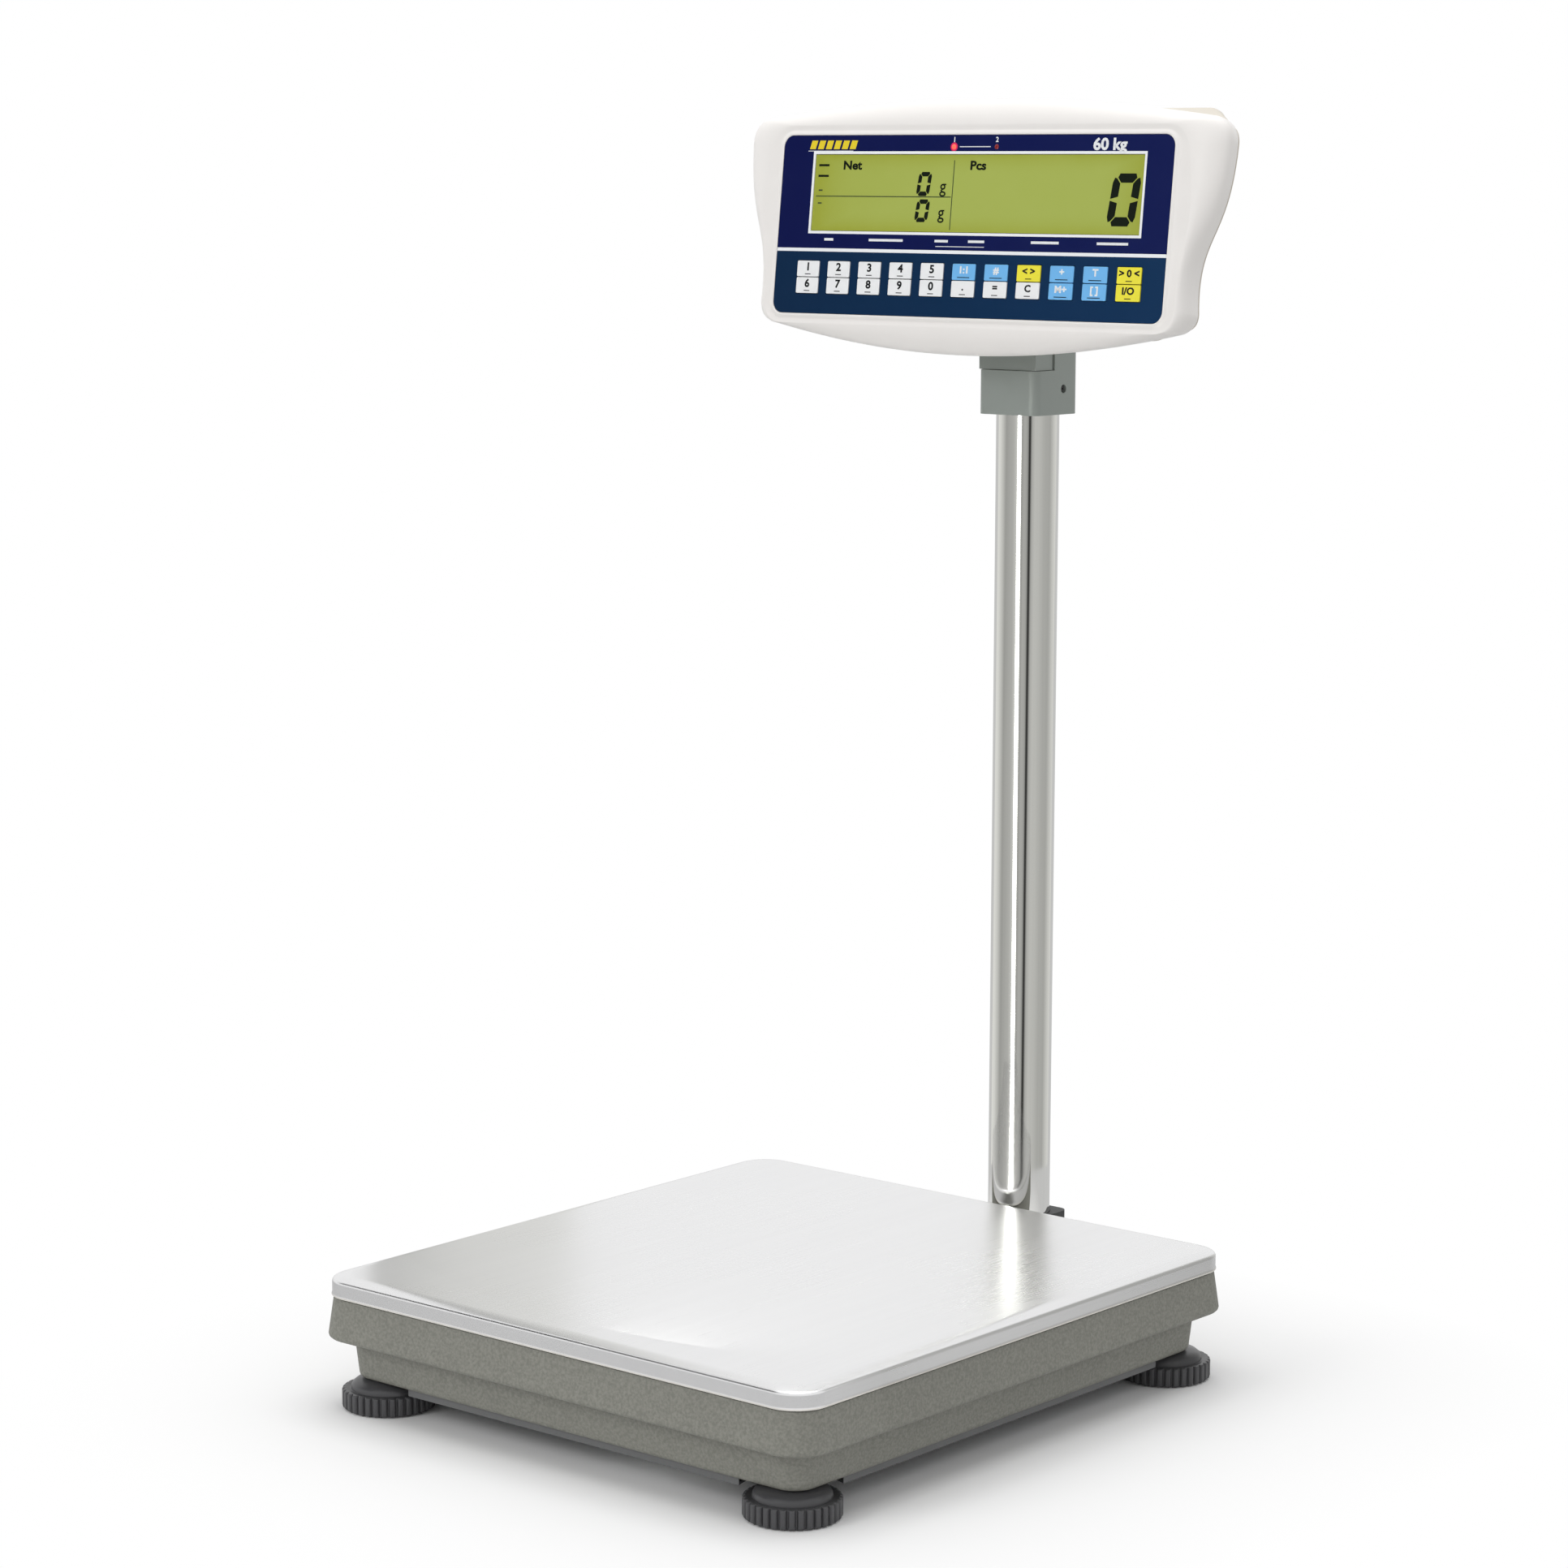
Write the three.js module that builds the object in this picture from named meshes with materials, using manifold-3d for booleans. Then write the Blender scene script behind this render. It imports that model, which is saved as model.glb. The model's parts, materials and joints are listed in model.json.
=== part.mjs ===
// Counting scale: a weighing platform on four screw feet, with a column behind it
// that carries a swivelling, tilting display head.
// Millimetres, +Z up. The user stands at -Y and +X is on the user's right.
// Sizes are worked out around the platform's centre, on the floor. The finished
// group is moved along Y so that its origin is the middle of the whole footprint.
import * as THREE from "three";
import { mergeVertices } from "three/addons/utils/BufferGeometryUtils.js";
import Module from "manifold-3d";

const wasm = await Module();
wasm.setup();

// ---- Driving dimensions -------------------------------------------------------

const gap = 0.3; // left between pieces that touch
const weldDistance = 1e-4; // vertices closer than this are one

// Pan: a stainless tray turned upside down
const panWidth = 360;
const panDepth = 390;
const panSkirt = 11.8;
const panSheet = 1.5;
const panCorner = 20;
const panEdgeRadius = 8;

// Platform casting: an inverted tray under the pan
const deckThickness = 4;
const deckInset = 3.5;
const deckRoot = 6; // thicker metal where the band meets the deck
const deckRootDrop = 3;
const bandHeight = 24.5;
const bandInset = 1;
const bandDraft = 2.6;
const bandWall = 5;
const bandLip = 2.5;
const edgeBreak = 1;
const padRadius = 9;
const padHeight = 3.8;
const padFromEdge = 60;

// Base casting: an upright tray that stands on the feet
const baseInset = 10.7;
const baseDraft = 2;
const baseWall = 5;
const baseFloor = 5;
const baseLip = 3;
const baseRimBelowDeck = 10;
const overloadGap = 1;
const overloadRadius = 7;
const overloadFromSide = 45;
const coverHeight = 4;
const coverSheet = 1.5;
const coverInset = 16.5;
const coverCorner = 4;
const coverFootGap = 3;

// Load cell and its two spacers
const cellLength = 150;
const cellWidth = 38;
const cellHeight = 28;
const cellBore = 8;
const cellBoreSpacing = 34;
const spacerLength = 38;
const spacerHeight = 8;

// Spirit level on the base floor, read through a hole in the deck
const vialRadius = 9;
const vialHeight = 10;
const vialFromEdge = 40;
const vialSightClearance = 3;

// Screw feet
const footFromSide = 29;
const footFromFront = 28;
const footFromBack = 23;
const wheelRadius = 26.7;
const wheelClearance = 0.6;
const wheelRim = 11;
const wheelBossRadius = 20;
const wheelBossHeight = 6;
const wheelChamfer = 1.6;
const fluteCount = 18;
const fluteDepth = 1;
const studRadius = 5;
const studLength = 28;
const studBossRadius = 10;
const padRecess = 3;
const solePadRadius = 18;

// Column and the bracket that holds its foot
const tubeRadius = 19;
const tubeWall = 1.5;
const columnBehindPan = 34;
const socketWall = 3;
const socketCorner = 6;
const socketTop = 64;
const socketBottom = 19.5;
const socketFloor = 3;
const armTop = 40.4;
const armBottom = 21;
const seatProud = 0.6;
const seatDepth = 8;
const flangeWidth = 92;
const seatMargin = 2;
const flangeThickness = 5;
const boltRadius = 3;
const boltLength = 15;
const boltHead = 4;
const boltAcrossCorners = 11.5;
const boltSpacing = 70;

// Collar at the top of the column
const collarBottom = 556;
const collarStep = 26.5;
const collarRearHeight = 35;
const collarRoof = 3;
const pivotAboveStep = 13.5;
const pivotBehindAxis = 7;
const earRadius = 10;
const slotWidth = 24;
const slotRearWall = 4;
const pinRadius = 3;
const pinEndWall = 3;
const screwRadius = 1.6;
const screwLength = 1.6;
const screwHeight = 15.3;
const screwBehindAxis = 6;
const screwRecess = 0.8;

// Tilt bracket
const bracketInset = 1;
const bracketFromShellEdge = 4;
const bracketOnShell = 33;
const bracketBackFall = 8;
const bracketFrontRise = 2;
const tongueRadius = 8.5;
const tongueWeb = 14;

// Display head: the panel's place on the column
const panelWidth = 288;
const panelHeight = 106.8;
const panelCorner = 7;
const panelTilt = THREE.MathUtils.degToRad(6.3);
const panelBeforeAxis = 62;
const panelCentreHeight = 668;

// Outline of the front shell: where its bows end and how its flanks curve
const topRun = 12;
const topRise = 2.5;
const bottomRun = 10;
const cornerDrop = 13;
const cornerSwell = 2;
const cornerFlat = 2;
const flankPull = 3;
const shoulderShare = 0.8;
const flankUpperShare = -0.13;
const flankLowerShare = 0;

// Head shells, as margins around the panel
const overlayThickness = 1.2;
const ledgeWidth = 4;
const ledgeThickness = 2.5;
const rimProud = 0.3;
const creaseMargin = 8;
const creaseMarginEnds = 6;
const creaseCorner = 14;
const windowCorner = 4;
// Share of the way from the crease to the widest line, and how deep the shell is there
const shellBow = [
  [0.9, 0.55],
  [0.6, 0.22],
];
const shellLipInset = 3;
const shellLipDraft = 0.8;
const shellLipHeight = 4;
const sideMarginTop = 32;
const sideMarginWaist = 12;
const topMargin = 21;
const topMarginAtEnds = 9;
const bottomMargin = 21.5;
const bottomMarginAtEnds = 6;
const shellWidestDepth = 10;
const shellParting = 20;
const shellWall = 3;
const rearWall = 2.5;
const rearSideMargin = 2;
// Share of the width by which the rear shell narrows per millimetre down its back
const rearTaper = 0.0005;
const rearTopMargin = 21;
const rearBottomMargin = 8.5;
const rearCorner = 14;
const rearFlange = 10;
const rearDepthMiddle = 42.5;
const rearSlope = 0.193;
// Inset and lift of the rings that round the rear shell's back edge
const rearRounding = [
  [9, 0],
  [3.5, 1.2],
  [0.9, 4],
  [0, 8],
];
const rearInnerLift = 9;
const rearInnerInset = 5;

// Display window and keys
const lcdMarginLeft = 25;
const lcdMarginRight = 20;
const lcdMarginTop = 11.1;
const lcdHeight = 46.1;
const lcdModuleDepth = 9;
const lcdFrameSide = 4;
const lcdFrameTop = 3;
const lcdGlassRecess = 0.3;
const keyColumns = 11;
const keyMarginLeft = 17.3;
const keyMarginRight = 15.8;
const keyMarginBottom = 12;
const keyWidth = 17;
const keyHeight = 9.5;
const keySplit = 0.5;
const keyProud = 0.4;
const keyBody = 4.3;
const keyTravel = 0.5;

// Boards, battery and connectors inside the head
const boardThickness = 1.6;
const keypadBoardSide = 3;
const mainBoardWidth = 200;
const mainBoardHeight = 84;
const mainBoardDepth = 13;
const batteryWidth = 97;
const batteryHeight = 52;
const batteryThickness = 20;
const batteryX = -60;
const batteryY = 10;
const portX = 60;
const portY = -20;
const portWidth = 31;
const portHeight = 12.5;
const portLength = 16;
const portProud = 1.5;
const plugWidth = 17;
const plugHeight = 8;
const plugLength = 5;
const plugCorner = 2;
const jackX = 100;
const jackY = -22;
const jackRadius = 5;
const jackLength = 13;
const jackProud = 2.5;
const jackBore = 3;
const jackBoreDepth = 9;
const jackPin = 1;

// Fineness of round shapes
const cornerSteps = 5;
const arcSteps = 10;
const sideSteps = 6;
const roundSides = 32;
const smallSides = 12;

// ---- Heights and places that follow from the dimensions -------------------------

const halfWidth = panWidth / 2;
const halfDepth = panDepth / 2;
const wheelTop = wheelClearance + wheelRim + wheelBossHeight;
const coverBottom = wheelClearance + wheelRim + 2;
const baseBottom = coverBottom + coverHeight + gap;
const floorTop = baseBottom + baseFloor;
const baseSpacerBottom = floorTop + gap;
const cellBottom = baseSpacerBottom + spacerHeight + gap;
const liveSpacerBottom = cellBottom + cellHeight + gap;
const deckBottom = liveSpacerBottom + spacerHeight + gap;
const deckTop = deckBottom + deckThickness;
const padBottom = deckTop + gap;
const panUnderside = padBottom + padHeight + gap;
const panTop = panUnderside + panSheet;
const skirtBottom = panTop - panSkirt;
const shoulderTop = skirtBottom - gap;
const bandBottom = shoulderTop - bandHeight;
const footX = halfWidth - footFromSide;
const footFrontY = footFromFront - halfDepth;
const footBackY = halfDepth - footFromBack;
const columnY = halfDepth + columnBehindPan;
const seatY = halfDepth - baseInset + seatProud;
const boreRadius = tubeRadius + gap;
const socketHalf = boreRadius - gap + socketWall;
const socketWidth = 2 * socketHalf;
const pinLength = socketWidth - 2 * pinEndWall;
const stepTop = collarBottom + collarStep;
const boreTop = stepTop - collarRoof;
const pivotHeight = stepTop + pivotAboveStep;
const originY = (columnY + socketHalf + (bandInset - bandDraft) - halfDepth) / 2;
const panelX = panelWidth / 2;
const panelY = panelHeight / 2;
const lcdWidth = panelWidth - lcdMarginLeft - lcdMarginRight;
const lcdX = (lcdMarginLeft - lcdMarginRight) / 2;
const lcdY = panelY - lcdMarginTop - lcdHeight / 2;
const keyPitch = (panelWidth - keyMarginLeft - keyMarginRight - keyWidth) / (keyColumns - 1);
const keyPairHeight = 2 * keyHeight + keySplit;
const keyPairY = keyMarginBottom - panelY + keyPairHeight / 2;
const lcdToKeys = panelHeight - lcdMarginTop - lcdHeight - keyMarginBottom - keyPairHeight;
const border = lcdToKeys / 3;
const pocketDepth = overlayThickness + gap;

// ---- Materials ------------------------------------------------------------------

function material(color, roughness, metalness) {
  return new THREE.MeshStandardMaterial({ color, roughness, metalness });
}

const stainless = () => material(0xd6d7d8, 0.35, 1);
const polished = () => material(0xe2e2de, 0.08, 1);
const zincSteel = () => material(0xa8aaad, 0.4, 1);
const aluminium = () => material(0xb9bbbd, 0.45, 1);
const castPaint = () => material(0x83827a, 0.6, 0.2);
const darkPaint = () => material(0x3a3b3c, 0.6, 0.2);
const darkPlastic = () => material(0x48484a, 0.55, 0);
const greyPlastic = () => material(0x858c87, 0.5, 0);
const whitePlastic = () => material(0xeeebe6, 0.35, 0);
const creamPlastic = () => material(0xe4ddd0, 0.4, 0);
const blackRubber = () => material(0x1c1c1d, 0.85, 0);
const blackPlastic = () => material(0x141415, 0.4, 0);
const overlayFilm = () => material(0x0a1c58, 0.35, 0);
const lcdGlass = () => material(0xb9c56b, 0.2, 0);
const circuitBoard = () => material(0x1f5a38, 0.5, 0);
const vialAcrylic = () => material(0xb7d23c, 0.15, 0);
const keyWhite = () => material(0xf2f3f4, 0.4, 0);
const keyBlue = () => material(0x6db8ee, 0.4, 0);
const keyYellow = () => material(0xefe52a, 0.4, 0);

// ---- Solids ---------------------------------------------------------------------

function toSolid(geometry) {
  const bare = geometry.clone();
  bare.deleteAttribute("normal");
  bare.deleteAttribute("uv");
  const merged = mergeVertices(bare, weldDistance);
  return new wasm.Manifold(
    new wasm.Mesh({
      numProp: 3,
      vertProperties: merged.attributes.position.array,
      triVerts: new Uint32Array(merged.index.array),
    }),
  );
}

function toGeometry(solid) {
  const mesh = solid.getMesh();
  const geometry = new THREE.BufferGeometry();
  geometry.setAttribute("position", new THREE.BufferAttribute(mesh.vertProperties, 3));
  geometry.setIndex(new THREE.BufferAttribute(mesh.triVerts, 1));
  return geometry;
}

function join(first, ...others) {
  const sum = others.reduce((solid, other) => solid.add(toSolid(other)), toSolid(first));
  return toGeometry(sum);
}

function cut(first, ...tools) {
  const rest = tools.reduce((solid, tool) => solid.subtract(toSolid(tool)), toSolid(first));
  return toGeometry(rest);
}

// A box between two corners
function block(x0, x1, y0, y1, z0, z1) {
  const geometry = new THREE.BoxGeometry(x1 - x0, y1 - y0, z1 - z0);
  return geometry.translate((x0 + x1) / 2, (y0 + y1) / 2, (z0 + z1) / 2);
}

// An upright cylinder standing on z0
function post(radius, x, y, z0, z1, sides = smallSides) {
  const geometry = new THREE.CylinderGeometry(radius, radius, z1 - z0, sides);
  return geometry.rotateX(Math.PI / 2).translate(x, y, (z0 + z1) / 2);
}

// A cylinder along X or along Y, centred on a point
function rodX(radius, length, x, y, z, sides = smallSides) {
  const geometry = new THREE.CylinderGeometry(radius, radius, length, sides);
  return geometry.rotateZ(Math.PI / 2).translate(x, y, z);
}

function rodY(radius, length, x, y, z, sides = smallSides) {
  const geometry = new THREE.CylinderGeometry(radius, radius, length, sides);
  return geometry.translate(x, y, z);
}

function plate(shape, z0, z1) {
  const options = { depth: z1 - z0, bevelEnabled: false, curveSegments: cornerSteps };
  return new THREE.ExtrudeGeometry(shape, options).translate(0, 0, z0);
}

// ---- Outlines: closed paths of eight curves, an edge and a corner in turn --------

function roundedRect(halfX, halfY, radius, centreX = 0, centreY = 0) {
  const path = new THREE.Shape();
  const [right, top] = [centreX + halfX, centreY + halfY];
  const [left, bottom] = [centreX - halfX, centreY - halfY];
  path.moveTo(left + radius, bottom);
  path.lineTo(right - radius, bottom);
  path.absarc(right - radius, bottom + radius, radius, -Math.PI / 2, 0);
  path.lineTo(right, top - radius);
  path.absarc(right - radius, top - radius, radius, 0, Math.PI / 2);
  path.lineTo(left + radius, top);
  path.absarc(left + radius, top - radius, radius, Math.PI / 2, Math.PI);
  path.lineTo(left, bottom + radius);
  path.absarc(left + radius, bottom + radius, radius, Math.PI, 1.5 * Math.PI);
  return path;
}

// The platform's plan, pulled in by an inset
function planOutline(inset) {
  return roundedRect(halfWidth - inset, halfDepth - inset, panCorner - inset / 2);
}

// Samples an outline: flat edges, corners and side edges each with their own steps
function samples(path, edgeSteps, flankSteps = edgeSteps) {
  const steps = [edgeSteps, cornerSteps, flankSteps, cornerSteps];
  return path.curves.flatMap((curve, i) => curve.getPoints(steps[i % 4]).slice(0, -1));
}

// Lifts 2-D points to a height, which may depend on the point
function ring(points, height) {
  const heightOf = typeof height === "function" ? height : () => height;
  return points.map((p) => new THREE.Vector3(p.x, p.y, heightOf(p)));
}

function blend(from, to, share) {
  return from.map((p, i) => p.clone().lerp(to[i], share));
}

// Pulls a sampled outline in along its own normals
function pullIn(points, inset) {
  return points.map((p, i) => {
    const before = points[(i + points.length - 1) % points.length];
    const after = points[(i + 1) % points.length];
    const along = after.clone().sub(before).normalize();
    return new THREE.Vector2(p.x - along.y * inset, p.y + along.x * inset);
  });
}

// Skins a list of rings. An open list is closed by a flat cap at each end; a
// closed list joins its last ring to its first.
function skin(rings, closed = false) {
  const count = rings[0].length;
  const vertices = rings.flat();
  const faces = [];
  const bands = closed ? rings.length : rings.length - 1;
  for (let k = 0; k < bands; k++) {
    const low = k * count;
    const high = ((k + 1) % rings.length) * count;
    for (let i = 0; i < count; i++) {
      const next = (i + 1) % count;
      faces.push(low + i, low + next, high + next);
      faces.push(low + i, high + next, high + i);
    }
  }
  if (!closed) addCaps(rings, vertices, faces);
  const geometry = new THREE.BufferGeometry().setFromPoints(vertices);
  return geometry.setIndex(faces);
}

function addCaps(rings, vertices, faces) {
  const count = rings[0].length;
  const last = (rings.length - 1) * count;
  const startCentre = vertices.push(middleOf(rings[0])) - 1;
  const endCentre = vertices.push(middleOf(rings[rings.length - 1])) - 1;
  for (let i = 0; i < count; i++) {
    const next = (i + 1) % count;
    faces.push(startCentre, next, i);
    faces.push(endCentre, last + i, last + next);
  }
}

function middleOf(points) {
  const sum = points.reduce((total, p) => total.add(p), new THREE.Vector3());
  return sum.divideScalar(points.length);
}

// One ring of the platform's plan
function planRing(inset, height) {
  return ring(samples(planOutline(inset), 1), height);
}

// ---- Scene graph ----------------------------------------------------------------

const scale = new THREE.Group();
scale.position.y = -originY;

function add(parent, name, geometry, finish) {
  const mesh = new THREE.Mesh(geometry, finish);
  mesh.name = name;
  parent.add(mesh);
}

// Calls a function once for each corner: its two signs, then its name
function forCorners(build) {
  build(-1, -1, "front_left");
  build(1, -1, "front_right");
  build(-1, 1, "back_left");
  build(1, 1, "back_right");
}

// ---- Pan and platform -----------------------------------------------------------

// A tray of sheet, open below, its top edge rounded over
function pan() {
  const turn = (degrees) => THREE.MathUtils.degToRad(degrees);
  const edge = (radius, degrees, inset) =>
    planRing(
      inset + radius * (1 - Math.cos(turn(degrees))),
      panTop - panEdgeRadius + radius * Math.sin(turn(degrees)),
    );
  const innerRadius = panEdgeRadius - panSheet;
  return skin([
    edge(innerRadius, 90, panSheet),
    edge(innerRadius, 45, panSheet),
    edge(innerRadius, 0, panSheet),
    planRing(panSheet, skirtBottom),
    planRing(0, skirtBottom),
    edge(panEdgeRadius, 0, 0),
    edge(panEdgeRadius, 30, 0),
    edge(panEdgeRadius, 60, 0),
    edge(panEdgeRadius, 90, 0),
  ]);
}

function platformCasting() {
  const foot = bandInset - bandDraft;
  const deckEdge = panSheet + deckInset;
  const tray = skin([
    planRing(foot + bandWall + deckRoot, deckBottom),
    planRing(foot + bandWall + (2 * deckRoot) / 3, deckBottom - deckRootDrop),
    planRing(foot + bandWall, bandBottom),
    planRing(foot + bandLip, bandBottom),
    planRing(foot + bandLip / 4, bandBottom + bandLip / 4),
    planRing(foot, bandBottom + bandLip),
    planRing(bandInset, shoulderTop - edgeBreak),
    planRing(bandInset + edgeBreak, shoulderTop),
    planRing(deckEdge, shoulderTop),
    planRing(deckEdge, deckTop - edgeBreak),
    planRing(deckEdge + edgeBreak, deckTop),
  ]);
  const sightRadius = vialRadius + vialSightClearance;
  const sight = post(sightRadius, 0, halfDepth - vialFromEdge, deckBottom - 1, deckTop + 1);
  return cut(tray, sight);
}

function panPad(x, y) {
  return post(padRadius, x, y, padBottom, padBottom + padHeight);
}

// ---- Base -----------------------------------------------------------------------

function baseTray() {
  const bottomInset = baseInset + baseDraft;
  const rim = deckBottom - baseRimBelowDeck;
  return skin([
    planRing(bottomInset + baseLip, baseBottom),
    planRing(bottomInset + baseLip / 4, baseBottom + baseLip / 4),
    planRing(bottomInset, baseBottom + baseLip),
    planRing(baseInset, bandBottom),
    planRing(baseInset, rim),
    planRing(baseInset + baseWall, rim),
    planRing(bottomInset + baseWall, floorTop),
  ]);
}

function baseCasting() {
  const bosses = [];
  const holes = [];
  forCorners((sideX, sideY) => {
    const [x, y] = [sideX * footX, sideY < 0 ? footFrontY : footBackY];
    const top = wheelTop + studLength + gap;
    bosses.push(post(studBossRadius, x, y, floorTop - 1, top));
    holes.push(post(studRadius + gap, x, y, baseBottom - 1, top + 1));
    const [stopX, stopY] = [halfWidth - overloadFromSide, halfDepth - padFromEdge];
    const stopTop = deckBottom - overloadGap;
    bosses.push(post(overloadRadius, sideX * stopX, sideY * stopY, floorTop - 1, stopTop));
  });
  const half = flangeWidth / 2 + seatMargin;
  bosses.push(block(-half, half, seatY - seatDepth, seatY, armBottom - 1, armTop));
  for (const side of [-1, 1]) {
    const hole = boltRadius + gap;
    holes.push(rodY(hole, 4 * seatDepth, (side * boltSpacing) / 2, seatY, boltHeight()));
  }
  return cut(join(baseTray(), ...bosses), ...holes);
}

function boltHeight() {
  return (armTop + armBottom) / 2;
}

// A shallow pressed tray with its corners cut away round the feet
function bottomCover() {
  const outer = roundedRect(halfWidth - coverInset, halfDepth - coverInset, coverCorner);
  const inset = coverInset + coverSheet;
  const inner = roundedRect(halfWidth - inset, halfDepth - inset, coverCorner - 1);
  const top = coverBottom + coverHeight;
  const tray = cut(plate(outer, coverBottom, top), plate(inner, coverBottom + coverSheet, top + 1));
  const cuts = [];
  forCorners((sideX, sideY) => {
    const y = sideY < 0 ? footFrontY : footBackY;
    const radius = wheelRadius + coverFootGap;
    cuts.push(post(radius, sideX * footX, y, coverBottom - 1, top + 1, roundSides));
  });
  return cut(tray, ...cuts);
}

// Single-point cell: a bar with two joined bores that make its four thin flexures
function loadCell() {
  const side = new THREE.Shape();
  const half = cellLength / 2;
  side.moveTo(-half, cellBottom);
  side.lineTo(half, cellBottom);
  side.lineTo(half, cellBottom + cellHeight);
  side.lineTo(-half, cellBottom + cellHeight);
  const middle = cellBottom + cellHeight / 2;
  const bores = new THREE.Path();
  bores.absarc(-cellBoreSpacing / 2, middle, cellBore, 0.4, 2 * Math.PI - 0.4);
  bores.absarc(cellBoreSpacing / 2, middle, cellBore, Math.PI + 0.4, 3 * Math.PI - 0.4);
  side.holes.push(bores);
  return sideProfile(side, cellWidth);
}

// Extrudes an outline drawn in Y (its x) and Z (its y) along X, centred on x = 0
function sideProfile(shape, width) {
  const geometry = plate(shape, -width / 2, width / 2);
  const axes = new THREE.Matrix4().set(0, 0, 1, 0, 1, 0, 0, 0, 0, 1, 0, 0, 0, 0, 0, 1);
  return geometry.applyMatrix4(axes);
}

function cellSpacer(towardsBack, z0) {
  const outer = cellLength / 2 - 1;
  const [low, high] = [outer - spacerLength, outer];
  const [y0, y1] = towardsBack ? [low, high] : [-high, -low];
  return block(-cellWidth / 2, cellWidth / 2, y0, y1, z0, z0 + spacerHeight);
}

function levelVial() {
  const bottom = floorTop + gap;
  return post(vialRadius, 0, halfDepth - vialFromEdge, bottom, bottom + vialHeight, roundSides / 2);
}

// ---- Feet -----------------------------------------------------------------------

function circlePoints(radius, count = 2 * fluteCount) {
  const turn = (i) => (2 * Math.PI * i) / count;
  const point = (_, i) => new THREE.Vector2(Math.cos(turn(i)), Math.sin(turn(i)));
  return Array.from({ length: count }, point).map((p) => p.multiplyScalar(radius));
}

function flutedPoints() {
  return circlePoints(1).map((p, i) => p.multiplyScalar(wheelRadius - (i % 2) * fluteDepth));
}

// Hand wheel with a fluted rim, a raised boss and its steel stud, one turning piece
function footWheel() {
  const rimTop = wheelClearance + wheelRim;
  const recess = solePadRadius + gap;
  const wheel = skin([
    ring(circlePoints(recess), wheelClearance + padRecess),
    ring(circlePoints(recess), wheelClearance),
    ring(circlePoints(wheelRadius - 2 * wheelChamfer), wheelClearance),
    ring(flutedPoints(), wheelClearance + wheelChamfer),
    ring(flutedPoints(), rimTop - wheelChamfer),
    ring(circlePoints(wheelRadius - 2 * wheelChamfer), rimTop),
  ]);
  const boss = new THREE.LatheGeometry(bossProfile(rimTop), fluteCount);
  const stud = post(studRadius, 0, 0, wheelTop - 1, wheelTop + studLength);
  return join(wheel, boss.rotateX(Math.PI / 2), stud);
}

function bossProfile(rimTop) {
  return [
    new THREE.Vector2(0, rimTop - 1),
    new THREE.Vector2(wheelBossRadius, rimTop - 1),
    new THREE.Vector2(wheelBossRadius, wheelTop - wheelChamfer),
    new THREE.Vector2(wheelBossRadius - wheelChamfer, wheelTop),
    new THREE.Vector2(0, wheelTop),
  ];
}

function solePad() {
  return post(solePadRadius, 0, 0, 0, wheelClearance + padRecess - gap, roundSides);
}

// ---- Column ---------------------------------------------------------------------

function columnBracket() {
  const plan = roundedRect(socketHalf, socketHalf, socketCorner, 0, columnY);
  const socket = plate(plan, socketBottom, socketTop);
  const face = seatY + gap;
  const arm = block(-socketHalf, socketHalf, face, columnY, armBottom, armTop);
  const half = flangeWidth / 2;
  const flange = block(-half, half, face, face + flangeThickness, armBottom, armTop);
  const bore = post(boreRadius, 0, columnY, socketBottom + socketFloor, socketTop + 1, roundSides);
  const holes = [-1, 1].map((side) =>
    rodY(boltRadius + gap, 4 * flangeThickness, (side * boltSpacing) / 2, face, boltHeight()),
  );
  return cut(join(socket, arm, flange), bore, ...holes);
}

// Hexagon-headed bolt lying along Y, its head outermost
function bracketBolt(side) {
  const x = (side * boltSpacing) / 2;
  const headFace = seatY + gap + flangeThickness + gap;
  const shank = rodY(boltRadius, boltLength, x, headFace - boltLength / 2 + 1, boltHeight());
  const head = rodY(boltAcrossCorners / 2, boltHead, x, headFace + boltHead / 2, boltHeight(), 6);
  return join(shank, head);
}

function columnTube() {
  const ringShape = new THREE.Shape().absarc(0, 0, tubeRadius, 0, 2 * Math.PI);
  ringShape.holes.push(new THREE.Path().absarc(0, 0, tubeRadius - tubeWall, 0, 2 * Math.PI));
  const length = boreTop - socketBottom - socketFloor - 2 * gap;
  const options = { depth: length, bevelEnabled: false, curveSegments: roundSides };
  const bottom = socketBottom + socketFloor + gap;
  return new THREE.ExtrudeGeometry(ringShape, options).translate(0, columnY, bottom);
}

// ---- Collar and tilt bracket, drawn around the column's axis ---------------------

// Side view of the collar: a low front step, a taller rear and two ears
function collarSide() {
  const side = new THREE.Shape();
  const front = pivotBehindAxis - earRadius;
  side.moveTo(-socketHalf, collarBottom);
  side.lineTo(socketHalf, collarBottom);
  side.lineTo(socketHalf, collarBottom + collarRearHeight);
  side.lineTo(pivotBehindAxis + earRadius, pivotHeight);
  side.absarc(pivotBehindAxis, pivotHeight, earRadius, 0, Math.PI);
  side.lineTo(front, stepTop);
  side.lineTo(-socketHalf, stepTop);
  return sideProfile(side, socketWidth);
}

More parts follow.
